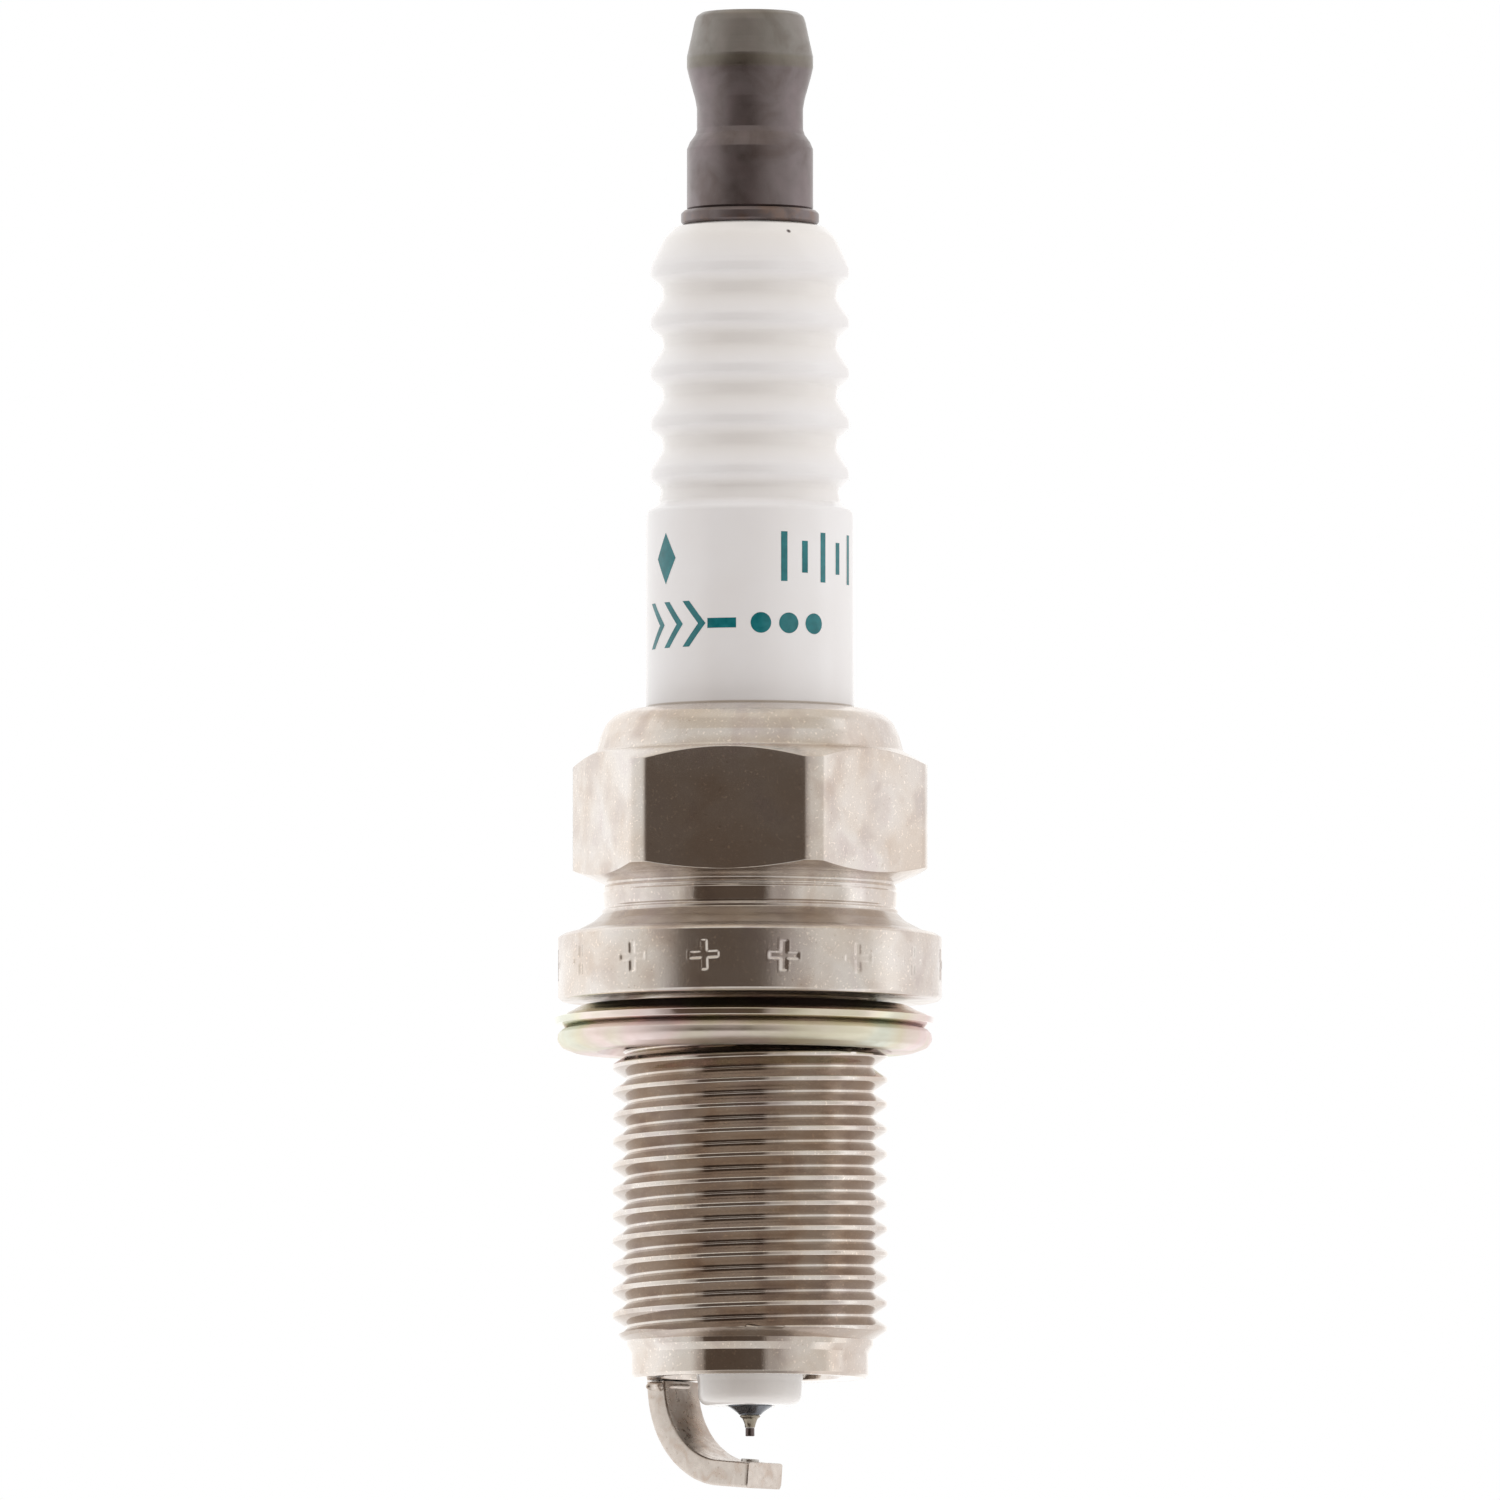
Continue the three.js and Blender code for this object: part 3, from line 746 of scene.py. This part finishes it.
def strap_line():
    """The strap's middle line in its own plane, as points and directions (u, z)."""
    bend_reach, leg_reach, steps = 2.9, 1.9, 40
    knots = [
        Vector((STRAP_ROOT_U, STRAP_ROOT_Z)),
        Vector((STRAP_ROOT_U, STRAP_ROOT_Z - bend_reach)),
        Vector((LEG_START_U - leg_reach, leg_z(LEG_START_U - leg_reach))),
        Vector((LEG_START_U, leg_z(LEG_START_U))),
    ]
    line = []
    for step in range(steps + 1):
        t = step / steps
        weights = ((1 - t) ** 3, 3 * t * (1 - t) ** 2, 3 * t * t * (1 - t), t**3)
        point = sum((knot * weight for knot, weight in zip(knots, weights)), Vector((0, 0)))
        legs = [after - before for before, after in zip(knots, knots[1:])]
        slope = legs[0] * (1 - t) ** 2 + legs[1] * 2 * t * (1 - t) + legs[2] * t * t
        line.append((point, slope.normalized()))
    leg_steps = 12
    along = Vector((math.cos(LEG_FALL), -math.sin(LEG_FALL)))
    for step in range(1, leg_steps + 1):
        u = LEG_START_U + (STRAP_TIP_U - LEG_START_U) * step / leg_steps
        line.append((Vector((u, leg_z(u))), along))
    return line


def strap_section(corner):
    """The strap's section as (across, outwards), anticlockwise, with rounded corners."""
    steps = 3
    half_width, half_height = STRAP_WIDTH / 2, STRAP_THICKNESS / 2
    points = []
    for index in range(4):
        x = (half_width - corner) * (1 if index in (0, 3) else -1)
        y = (half_height - corner) * (1 if index in (0, 1) else -1)
        for step in range(steps + 1):
            angle = (index + step / steps) * math.pi / 2
            points.append((x + corner * math.cos(angle), y + corner * math.sin(angle)))
    return points


def place_strap(u, across, z):
    """A point of the strap's plane in the CAD frame, in metres."""
    x = u * math.cos(STRAP_TURN) - across * math.sin(STRAP_TURN)
    y = -u * math.sin(STRAP_TURN) - across * math.cos(STRAP_TURN)
    return (x * MM, y * MM, z * MM)


def ground_electrode():
    """The strap swept along its line: soft rolled edges, a slightly bellied bend and a sheared end."""
    line = strap_line()
    section = strap_section(0.16)
    count = len(section)
    vertices = []
    faces = []
    draw = random.Random(11)
    for index, (point, along) in enumerate(line):
        normal = Vector((along.y, -along.x))
        bulge = 0.05 * math.exp(-(((index / len(line)) - 0.5) / 0.18) ** 2)
        for across, outwards in section:
            side = across * (1 + bulge * (-outwards / STRAP_THICKNESS))
            here = point + normal * (outwards + draw.uniform(-0.004, 0.004))
            vertices.append(place_strap(here.x, side, here.y))
    cap_strap(vertices, *line[-1])
    end = len(line) * count
    for ring in range(len(line)):
        for k in range(count):
            a = ring * count + k
            b = ring * count + (k + 1) % count
            faces.append([a, b, b + count, a + count])
    faces.append(list(range(end, end + count)))
    faces.append(list(range(count))[::-1])
    return mesh_object("strap_bent", vertices, faces, sharp=40)


def cap_strap(vertices, point, along):
    """Adds a ring past the last one for the sheared end, drawn in most at its torn outer edge."""
    normal = Vector((along.y, -along.x))
    torn_edge = 0.2
    for across, outwards in strap_section(0.1):
        raised = outwards * 0.96 - torn_edge * max(0, outwards / STRAP_THICKNESS + 0.1)
        here = point + along * 0.06 + normal * raised
        vertices.append(place_strap(here.x, across * 0.97, here.y))


def weld_flash():
    """The metal squeezed out round the strap's root when it was resistance welded."""
    vertices = []
    faces = []
    columns, rows = 72, 7
    draw = random.Random(5)
    lumps = [(draw.uniform(1, 9), draw.uniform(0, 6.3), draw.uniform(0.02, 0.07)) for _ in range(7)]
    for row in range(rows + 1):
        t = row / rows
        for column in range(columns):
            turn = 2 * math.pi * column / columns
            lump = sum(size * math.sin(round(rate) * turn + start) for rate, start, size in lumps)
            spread = 0.3 * math.sin(math.pi * min(1, t * 1.15)) ** 0.8 + lump * math.sin(math.pi * t)
            reach = math.copysign(abs(math.cos(turn)) ** 0.5, math.cos(turn))
            depth = math.copysign(abs(math.sin(turn)) ** 0.5, math.sin(turn))
            across = (STRAP_WIDTH / 2 - 0.05 + spread) * reach
            u = STRAP_ROOT_U + (STRAP_THICKNESS / 2 - 0.08 + spread * 0.45) * depth
            vertices.append(place_strap(u, across, STRAP_ROOT_Z + 0.02 - 0.62 * t))
    for row in range(rows):
        for k in range(columns):
            a = row * columns + k
            b = row * columns + (k + 1) % columns
            faces.append([a, a + columns, b + columns, b])
    faces.append(list(range(columns)))
    faces.append(list(range(rows * columns, (rows + 1) * columns))[::-1])
    return mesh_object("strap_weld_flash", vertices, faces, sharp=60)


def platinum_pad():
    low, high = -0.06, PAD_HIGH - PAD_LOW
    piece = turned("pad_disc", [
        (0, low),
        *rounded([(0.2, low), (0.45, low), (0.45, high - 0.08, 0.04), (0.2, high - 0.08)]),
        (0, high - 0.08),
    ], columns=64)
    tilt = Vector(place_strap(1, 0, -math.tan(LEG_FALL))).to_track_quat("X", "Z")
    for vertex in piece.data.vertices:
        vertex.co = tilt @ vertex.co + Vector((0, 0, PAD_LOW * MM))
    return piece


# ------------------------------------------------ gasket


def crush_gasket():
    """The folded sheet-steel ring: a bead on top, the sheet's thin rim, and the rolled body."""
    outline = rounded([
        (6.72, -1.2),
        (6.72, -2.0, 0.2),
        (7.4, -2.6, 0.15),
        (8.55, -2.6, 0.5),
        (9.2, -2.36, 0.4),
        (9.42, -2.0, 0.35),
        (9.38, -1.68, 0.2),
        (9.15, -1.46, 0.1),
        (8.7, -1.42, 0.03),
        (9.2, -1.3, 0.03),
        (9.52, -1.2, 0.07),
        (9.58, -0.88, 0.07),
        (8.72, -0.55, 0.3),
        (8.2, -0.27, 0.3),
        (7.2, -0.2, 0.25),
        (6.76, -0.45, 0.3),
        (6.72, -0.8),
        (6.72, -1.2),
    ], steps=4)

    def uneven(radius, z, angle):
        lobes = 0.02 * math.sin(3 * angle + 1) * (radius > 9)
        warp = 0.012 * math.sin(2 * angle) * (radius > 7.5)
        return radius + lobes, z + warp

    piece = turned("gasket_folded", outline, columns=216, wobble=uneven)
    for vertex in piece.data.vertices:
        vertex.co.x += GASKET_CENTRE * MM
    return piece


# ------------------------------------------------ node trees


class Nodes:
    """A node tree, with short ways to add to it."""

    def __init__(self, tree):
        self.tree = tree

    def add(self, kind, **settings):
        node = self.tree.nodes.new(kind)
        for key, value in settings.items():
            setattr(node, key, value)
        return node

    def put(self, socket, value):
        """Links an output to a socket, or sets a plain value on it."""
        if isinstance(value, bpy.types.NodeSocket):
            self.tree.links.new(value, socket)
        else:
            socket.default_value = value

    def maths(self, operation, first, second=0.0):
        node = self.add("ShaderNodeMath", operation=operation)
        self.put(node.inputs[0], first)
        self.put(node.inputs[1], second)
        return node.outputs[0]

    def mix(self, factor, first, second, blend="MIX"):
        node = self.add("ShaderNodeMix", data_type="RGBA", blend_type=blend)
        self.put(node.inputs["Factor"], factor)
        for socket, value in ((node.inputs[6], first), (node.inputs[7], second)):
            self.put(socket, (*value, 1) if isinstance(value, tuple) else value)
        return node.outputs[2]

    def tint(self, color, by, factor=1.0):
        """The colour multiplied by another one, as far as the factor says."""
        return self.mix(factor, color, by, "MULTIPLY")

    def step(self, value, start, end):
        """0 before start and 1 after end, smooth between. start may be the higher one."""
        node = self.add("ShaderNodeMapRange", interpolation_type="SMOOTHSTEP")
        self.put(node.inputs["Value"], value)
        low, high = (0, 1) if start < end else (1, 0)
        node.inputs["From Min"].default_value = min(start, end)
        node.inputs["From Max"].default_value = max(start, end)
        node.inputs["To Min"].default_value = low
        node.inputs["To Max"].default_value = high
        return node.outputs[0]

    def window(self, value, start, full, fade, end):
        """Rises from 0 at start to 1 at full, and falls again from fade to end."""
        return self.maths("MULTIPLY", self.step(value, start, full), self.step(value, end, fade))


# ------------------------------------------------ materials

WHITE = (1.0, 1.0, 1.0)


class Finish(Nodes):
    """A material. Sizes of patterns are in millimetres on the object."""

    def __init__(self, name, color, roughness, metallic, **sockets):
        self.material = bpy.data.materials.new(name)
        self.material.use_nodes = True
        super().__init__(self.material.node_tree)
        self.shader = self.tree.nodes["Principled BSDF"]
        self.place = self.add("ShaderNodeTexCoord").outputs["Object"]
        self.set("Base Color", (*color, 1))
        self.set("Roughness", roughness)
        self.set("Metallic", metallic)
        for socket, value in sockets.items():
            self.set(socket.replace("_", " "), value)

    def set(self, name, value):
        self.put(self.shader.inputs[name], value)

    def stretched(self, x, y, z):
        """The object's coordinates, scaled, so that a pattern is drawn out along an axis."""
        node = self.add("ShaderNodeMapping")
        node.inputs["Scale"].default_value = (x, y, z)
        self.put(node.inputs["Vector"], self.place)
        return node.outputs["Vector"]

    def noise(self, size, detail=4.0, place=None, distortion=0.0):
        node = self.add("ShaderNodeTexNoise")
        self.put(node.inputs["Vector"], place or self.place)
        node.inputs["Scale"].default_value = 1 / (size * MM)
        node.inputs["Detail"].default_value = detail
        node.inputs["Distortion"].default_value = distortion
        return node.outputs["Fac"]

    def ramp(self, factor, *stops):
        """A colour ramp. A stop is a position with a number or a colour."""
        node = self.add("ShaderNodeValToRGB")
        elements = node.color_ramp.elements
        while len(elements) < len(stops):
            elements.new(1)
        for element, (position, value) in zip(elements, stops):
            element.position = position
            element.color = (*value, 1) if isinstance(value, tuple) else (value, value, value, 1)
        self.put(node.inputs["Fac"], factor)
        return node.outputs["Color"]

    def axis(self, name):
        node = self.add("ShaderNodeSeparateXYZ")
        self.put(node.inputs[0], self.place)
        return node.outputs[name]

    def radius(self):
        """The distance from the plug's axis, in metres."""
        node = self.add("ShaderNodeVectorMath", operation="LENGTH")
        self.put(node.inputs[0], self.stretched(1, 1, 0))
        return node.outputs["Value"]

    def between(self, value, low, high, edge):
        """1 where a length in metres lies between two in millimetres, with soft edges."""
        places = (low - edge, low + edge, high - edge, high + edge)
        return self.window(value, *(place * MM for place in places))

    def bump(self, height, depth):
        """Relief of that many millimetres."""
        node = self.add("ShaderNodeBump")
        node.inputs["Strength"].default_value = 1.0
        node.inputs["Distance"].default_value = depth * MM
        self.put(node.inputs["Height"], height)
        self.set("Normal", node.outputs["Normal"])


def lathe_lines(finish, size):
    """Fine rings round the axis, as a turning tool or a brush leaves them."""
    return finish.noise(size, 3, finish.stretched(0.02, 0.02, 1))


def nickel_plate():
    """Champagne nickel with stains, specks and sparks, bright turned bands, and painted shade darkening the
    thread flanks and the shoulder under the hex.
    """
    finish = Finish("nickel_plate", (0.72, 0.66, 0.61), 0.2, 0.96)
    z = finish.axis("Z")
    clouds = finish.noise(3.2, 3, distortion=0.4)
    blots = finish.noise(2.2, 3, distortion=0.3)
    specks = finish.noise(0.2, 3)
    tone = finish.ramp(
        clouds,
        (0.34, (0.68, 0.6, 0.53)),
        (0.46, (0.72, 0.66, 0.605)),
        (0.6, (0.735, 0.69, 0.65)),
        (0.72, (0.69, 0.63, 0.61)),
    )
    stain = finish.ramp(blots, (0.32, (0.84, 0.81, 0.81)), (0.42, (0.93, 0.91, 0.9)), (0.52, WHITE))
    dots = finish.ramp(specks, (0.27, (0.7, 0.64, 0.6)), (0.33, WHITE))
    sparks = finish.ramp(finish.noise(0.14, 2), (0.62, WHITE), (0.7, (1.3, 1.28, 1.25)))
    plate = finish.tint(finish.tint(finish.tint(tone, stain), dots, 0.5), sparks)
    neck = finish.between(z, 4.6, 5.7, 0.05)
    pilot = finish.between(z, SHELL_LOW, PILOT_TOP, 0.05)
    thread = finish.between(z, PILOT_TOP, -0.5, 0.05)
    ridge = finish.between(finish.radius(), THREAD_ROOT + 0.03, THREAD_CREST - 0.035, 0.02)
    flanks = finish.maths("MULTIPLY", thread, ridge)
    # painted shade: the shoulder below the hex is darkened in the colour, as shade under the hex's overhang
    shoulder = finish.between(z, 3.4, 4.35, 0.15)
    # painted shade: the thread flanks are darkened in the colour, as shade between the crests
    flank_shaded = finish.tint(plate, (0.66, 0.61, 0.57), flanks)
    finish.set("Base Color", finish.tint(flank_shaded, (0.66, 0.62, 0.58), shoulder))
    satin = finish.ramp(blots, (0.3, 0.27), (0.6, 0.21))
    bright = finish.mix(thread, (0.08, 0.08, 0.08), (0.09, 0.09, 0.09))
    bright_bands = finish.maths("ADD", thread, finish.maths("ADD", neck, pilot))
    finish.set("Roughness", finish.mix(bright_bands, satin, bright))
    scratches = finish.noise(0.16, 3, finish.stretched(1, 1, 0.12))
    grain = finish.mix(0.5, finish.noise(0.16, 4), lathe_lines(finish, 0.1))
    finish.bump(finish.mix(0.35, grain, scratches), 0.004)
    return finish.material


def glaze():
    """Warm white glaze, with painted warm bounce light making the valleys between the ribs lighter and
    creamier, and painted shade in the crease of the lip.
    """
    finish = Finish("glazed_alumina", (0.86, 0.85, 0.85), 0.16, 0.0, Coat_Weight=0.2, Coat_Roughness=0.05)
    finish.set("Coat IOR", 1.5)
    # painted bounce light: the valleys between the ribs are lighter and warmer in the colour than the crests
    valley = finish.add("ShaderNodeMapRange")
    finish.put(valley.inputs["Value"], finish.radius())
    valley.inputs["From Min"].default_value = RIB_VALLEY * MM
    valley.inputs["From Max"].default_value = RIB_CREST * MM
    tone = finish.mix(valley.outputs[0], (0.885, 0.872, 0.86), (0.868, 0.867, 0.882))
    cloud = finish.ramp(finish.noise(4, 3), (0.3, (0.97, 0.96, 0.95)), (0.7, WHITE))
    tinted = finish.tint(tone, cloud)
    speck = finish.add("ShaderNodeVectorMath", operation="DISTANCE")
    finish.put(speck.inputs[0], finish.place)
    speck.inputs[1].default_value = [size * MM for size in GLAZE_SPECK]
    spot = finish.between(speck.outputs["Value"], -1, 0.15, 0.04)
    # painted shade: a dark band in the crease where the barrel meets the shell's lip
    crease = finish.between(finish.axis("Z"), SHELL_HIGH - 0.4, SHELL_HIGH, 0.04)
    crease_shaded = finish.mix(crease, tinted, (0.5, 0.44, 0.38))
    finish.set("Base Color", finish.mix(spot, crease_shaded, (0.05, 0.03, 0.03)))
    finish.set("Roughness", finish.ramp(finish.noise(1.2, 4), (0.35, 0.12), (0.7, 0.2)))
    finish.bump(finish.noise(1.5, 3), 0.01)
    return finish.material


def print_ink():
    """Teal ceramic ink, a little uneven in density."""
    finish = Finish("print_ink", (0.0, 0.15, 0.17), 0.2, 0.0, Coat_Weight=0.2, Coat_Roughness=0.05)
    density = finish.noise(0.5, 5)
    finish.set("Base Color", finish.ramp(density, (0.3, (0.0, 0.135, 0.155)), (0.75, (0.015, 0.21, 0.235))))
    return finish.material


def terminal_steel():
    """Oxidised steel: olive on the bulb, purple-brown on the skirt, a little copper on the flange."""
    finish = Finish("terminal_steel", (0.2, 0.17, 0.17), 0.36, 1.0, Coat_Weight=0.5, Coat_Roughness=0.3)
    z = finish.axis("Z")
    base = finish.mix(finish.between(z, 47.3, 60, 0.3), (0.2, 0.17, 0.172), (0.25, 0.235, 0.215))
    olive_ring = finish.between(z, 46.9, 47.5, 0.12)
    base = finish.mix(finish.maths("MULTIPLY", olive_ring, 0.6), base, (0.19, 0.175, 0.13))
    clouds = finish.ramp(
        finish.noise(2.2, 5, distortion=0.6),
        (0.35, (0.76, 0.7, 0.67)),
        (0.5, (0.98, 0.97, 0.97)),
        (0.68, (1.12, 1.08, 1.1)),
    )
    tone = finish.tint(base, clouds)
    flange = finish.between(z, 38, NUT_LOW - 0.02, 0.02)
    patches = finish.ramp(finish.noise(0.7, 4), (0.5, 0.0), (0.66, 0.5))
    copper = finish.maths("MULTIPLY", flange, patches)
    finish.set("Base Color", finish.mix(copper, tone, (0.26, 0.17, 0.13)))
    finish.set("Roughness", finish.ramp(finish.noise(0.6, 5), (0.3, 0.52), (0.7, 0.4)))
    finish.bump(finish.mix(0.6, finish.noise(0.2, 4), lathe_lines(finish, 0.09)), 0.005)
    return finish.material


def zinc_chromate():
    """A thin chromate film, from green-white to yellow, with painted iridescent sheen making it pinker in
    front, and a glossy rim.
    """
    finish = Finish("zinc_chromate", (0.62, 0.57, 0.5), 0.22, 1.0)
    drift, rim_radius = 0.1, 9.4
    # the film's own colours vary with the noise; the push towards pink on the front side is painted
    # iridescent sheen
    frontward = finish.maths("MULTIPLY", finish.axis("Y"), -drift / (rim_radius * MM))
    film = finish.maths("ADD", finish.noise(6.5, 2, distortion=0.4), frontward)
    tone = finish.ramp(
        film,
        (0.38, (0.72, 0.75, 0.65)),
        (0.47, (0.77, 0.73, 0.58)),
        (0.54, (0.8, 0.72, 0.65)),
        (0.61, (0.86, 0.72, 0.7)),
        (0.72, (0.78, 0.72, 0.72)),
    )
    drawn = finish.noise(1.2, 4, finish.stretched(0.4, 0.4, 2))
    streaks = finish.ramp(drawn, (0.35, (0.9, 0.88, 0.86)), (0.6, WHITE))
    finish.set("Base Color", finish.tint(tone, streaks))
    satin = finish.ramp(finish.noise(0.5, 5), (0.3, 0.46), (0.7, 0.34))
    rim = finish.between(finish.axis("Z"), -1.35, 0, 0.04)
    finish.set("Roughness", finish.mix(rim, satin, (0.12, 0.12, 0.12)))
    finish.bump(finish.mix(0.5, finish.noise(0.3, 4), lathe_lines(finish, 0.1)), 0.004)
    return finish.material


def nickel_alloy(name="nickel_alloy", color=(0.62, 0.56, 0.51), roughness=0.3):
    """Bare nickel alloy: drawn strip with faint grain, small pits and warm stains."""
    finish = Finish(name, color, roughness, 1.0)
    stains = finish.noise(0.9, 6, distortion=1.0)
    light = tuple(1.08 * c for c in color)
    dark = tuple(shade * c for shade, c in zip((0.9, 0.84, 0.8), color))
    pits = finish.ramp(finish.noise(0.18, 3), (0.28, (0.7, 0.66, 0.62)), (0.36, WHITE))
    tone = finish.ramp(stains, (0.36, dark), (0.52, color), (0.66, light))
    finish.set("Base Color", finish.tint(tone, pits, 0.7))
    wear = finish.noise(0.3, 5)
    finish.set("Roughness", finish.ramp(wear, (0.3, roughness + 0.1), (0.7, roughness - 0.08)))
    finish.bump(finish.mix(0.5, finish.noise(0.12, 5), finish.noise(0.5, 3)), 0.005)
    return finish.material


def plain_finish(name, color, roughness, metallic, grain, depth):
    """A finish for small and hidden pieces: two close tones in a fine grain, with relief to match."""
    finish = Finish(name, color, roughness, metallic)
    pattern = finish.noise(grain, 5)
    finish.set("Base Color", finish.ramp(
        pattern, (0.35, tuple(0.8 * c for c in color)), (0.65, tuple(min(1, 1.15 * c) for c in color))
    ))
    finish.set("Roughness", finish.ramp(pattern, (0.3, min(1, roughness + 0.1)), (0.7, roughness - 0.05)))
    finish.bump(pattern, depth)
    return finish.material


# ------------------------------------------------ studio


class Sky(Nodes):
    """The studio all round: white cloth with a dark window to the front, where the photographer stands."""

    def __init__(self):
        world = bpy.data.worlds.new("studio")
        bpy.context.scene.world = world
        world.use_nodes = True
        super().__init__(world.node_tree)
        self.tree.nodes.clear()
        split = self.add("ShaderNodeSeparateXYZ")
        self.put(split.inputs[0], self.add("ShaderNodeTexCoord").outputs["Generated"])
        x, y, self.z = split.outputs
        backwards = self.maths("MULTIPLY", y, -1.0)
        self.side = self.maths("ARCTAN2", x, backwards)  # turn from the front, positive to +X

    def strip(self, left, left_soft, right, right_soft):
        """1 inside a range of side angles in degrees, fading over the soft widths outside it."""
        turns = (left - left_soft, left, right, right + right_soft)
        return self.window(self.side, *(turn * DEGREE for turn in turns))

    def finish(self, color, matt, shown):
        """Gloss reflects color and matt surfaces are lit by matt. The camera sees the plain shown colour."""
        path = self.add("ShaderNodeLightPath")
        background = self.add("ShaderNodeBackground")
        output = self.add("ShaderNodeOutputWorld")
        lit = self.mix(path.outputs["Is Diffuse Ray"], color, matt)
        self.put(background.inputs["Color"], self.mix(path.outputs["Is Camera Ray"], lit, shown))
        self.put(output.inputs["Surface"], background.outputs[0])


def light_studio():
    """Cloth all round, dimmer overhead and in front, with the opening that the camera looks through."""
    cloth, matt_cloth = (1.2, 1.19, 1.18), (1.0, 0.99, 0.98)
    front_cloth, matt_front_cloth = (0.8, 0.78, 0.75), (1.24, 1.21, 1.19)
    overhead = (0.78, 0.72, 0.64)
    rail = (0.62, 0.56, 0.48)
    under, matt_under = (0.3, 0.27, 0.24), (0.95, 0.92, 0.9)
    fold = (0.98, 0.94, 0.92)
    stand, matt_stand = (0.42, 0.38, 0.35), (0.68, 0.62, 0.57)
    opening, matt_opening = (0.088, 0.063, 0.047), (0.14, 0.1, 0.08)
    sky = Sky()
    color = sky.mix(sky.strip(106, 8, 150, 12), cloth, fold)
    facing = sky.strip(-62, 50, 76, 14)
    color = sky.mix(facing, color, front_cloth)
    color = sky.mix(sky.step(sky.z, 0.55, 0.9), color, overhead)
    above = sky.window(sky.z, 0.62, 0.76, 0.78, 0.9)
    color = sky.mix(sky.maths("MULTIPLY", above, facing), color, rail)
    below = sky.step(sky.z, -0.82, -0.99)
    color = sky.mix(below, color, under)
    level = sky.window(sky.z, -0.6, -0.45, 0.36, 0.5)
    beside = sky.maths("MULTIPLY", sky.strip(-48, 14, 22, 24), level)
    front = sky.maths("MULTIPLY", sky.strip(-43, 5, 10, 9), level)
    color = sky.mix(beside, color, stand)
    color = sky.mix(front, color, opening)
    matt = sky.mix(facing, matt_cloth, matt_front_cloth)
    matt = sky.mix(below, matt, matt_under)
    matt = sky.mix(beside, matt, matt_stand)
    matt = sky.mix(front, matt, matt_opening)
    sky.finish(color, matt, WHITE)


def place_camera():
    """A long lens in front of the plug and a little below its middle, looking slightly up."""
    frame_height = 0.0754
    distance = 1.7
    rise = 3.6 * DEGREE
    middle = (CAD_BOX[0].z + CAD_BOX[1].z) / 2
    target = Vector((0, 0, middle))
    data = bpy.data.cameras.new("camera")
    data.sensor_width = 36
    data.lens = data.sensor_width * distance / frame_height
    data.clip_start = 0.01
    camera = bpy.data.objects.new("camera", data)
    bpy.context.scene.collection.objects.link(camera)
    camera.location = target + Vector((0, -math.cos(rise), -math.sin(rise))) * distance
    camera.rotation_euler = (target - camera.location).to_track_quat("-Z", "Y").to_euler()
    bpy.context.scene.camera = camera


# ------------------------------------------------ assembly


def dress_hidden_nodes():
    """The sealed inner pieces keep their CAD shapes and get finishes of their own."""
    glass = plain_finish("conductive_glass", (0.05, 0.045, 0.042), 0.45, 0.0, 0.4, 0.01)
    steel = plain_finish("packing_steel", (0.46, 0.44, 0.42), 0.4, 1.0, 0.3, 0.01)
    finishes = {
        "upper_glass_seal": glass,
        "lower_glass_seal": glass,
        "resistor_core": plain_finish("resistor_mix", (0.025, 0.022, 0.02), 0.8, 0.0, 0.25, 0.02),
        "copper_core": plain_finish("copper", (0.75, 0.36, 0.22), 0.35, 1.0, 0.5, 0.008),
        "talc_packing": plain_finish("talc", (0.78, 0.75, 0.68), 0.9, 0.0, 0.2, 0.03),
        "upper_packing_ring": steel,
        "lower_packing_ring": steel,
        "seat_washer": steel,
    }
    for node, material in finishes.items():
        slots = frame["nodes"][node].data.materials
        slots.clear()
        slots.append(material)


def build_plug():
    terminal = terminal_steel()
    alloy = nickel_alloy()
    electrode = nickel_alloy("electrode_alloy", (0.16, 0.175, 0.2), 0.25)
    weld = nickel_alloy("weld_alloy", (0.36, 0.33, 0.27), 0.28)
    iridium = plain_finish("iridium", (0.15, 0.12, 0.115), 0.3, 1.0, 0.1, 0.004)
    platinum = plain_finish("platinum", (0.62, 0.6, 0.57), 0.3, 1.0, 0.15, 0.004)
    stand_for(metal_shell(), "metal_shell", nickel_plate())
    stand_for(ceramic_insulator(), "ceramic_insulator", glaze())
    stand_for(terminal_nut(), "terminal_nut", terminal)
    stand_for(terminal_stud(), "terminal_stud", terminal)
    stand_for(crush_gasket(), "crush_gasket", zinc_chromate())
    stand_for(ground_electrode(), "ground_electrode", alloy)
    stand_for(centre_electrode(), "centre_electrode", electrode)
    stand_for(tip_weld(), "tip_weld", weld)
    stand_for(iridium_tip(), "iridium_tip", iridium)
    stand_for(platinum_pad(), "platinum_pad", platinum)
    for piece, slot, material in (
        (print_marks(), "glazed_alumina", print_ink()),
        (weld_flash(), "nickel_alloy", alloy),
    ):
        piece.data.materials.append(material)
        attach(piece, "plug")


bpy.context.scene.view_settings.view_transform = "Standard"
place_camera()
light_studio()
dress_hidden_nodes()
build_plug()
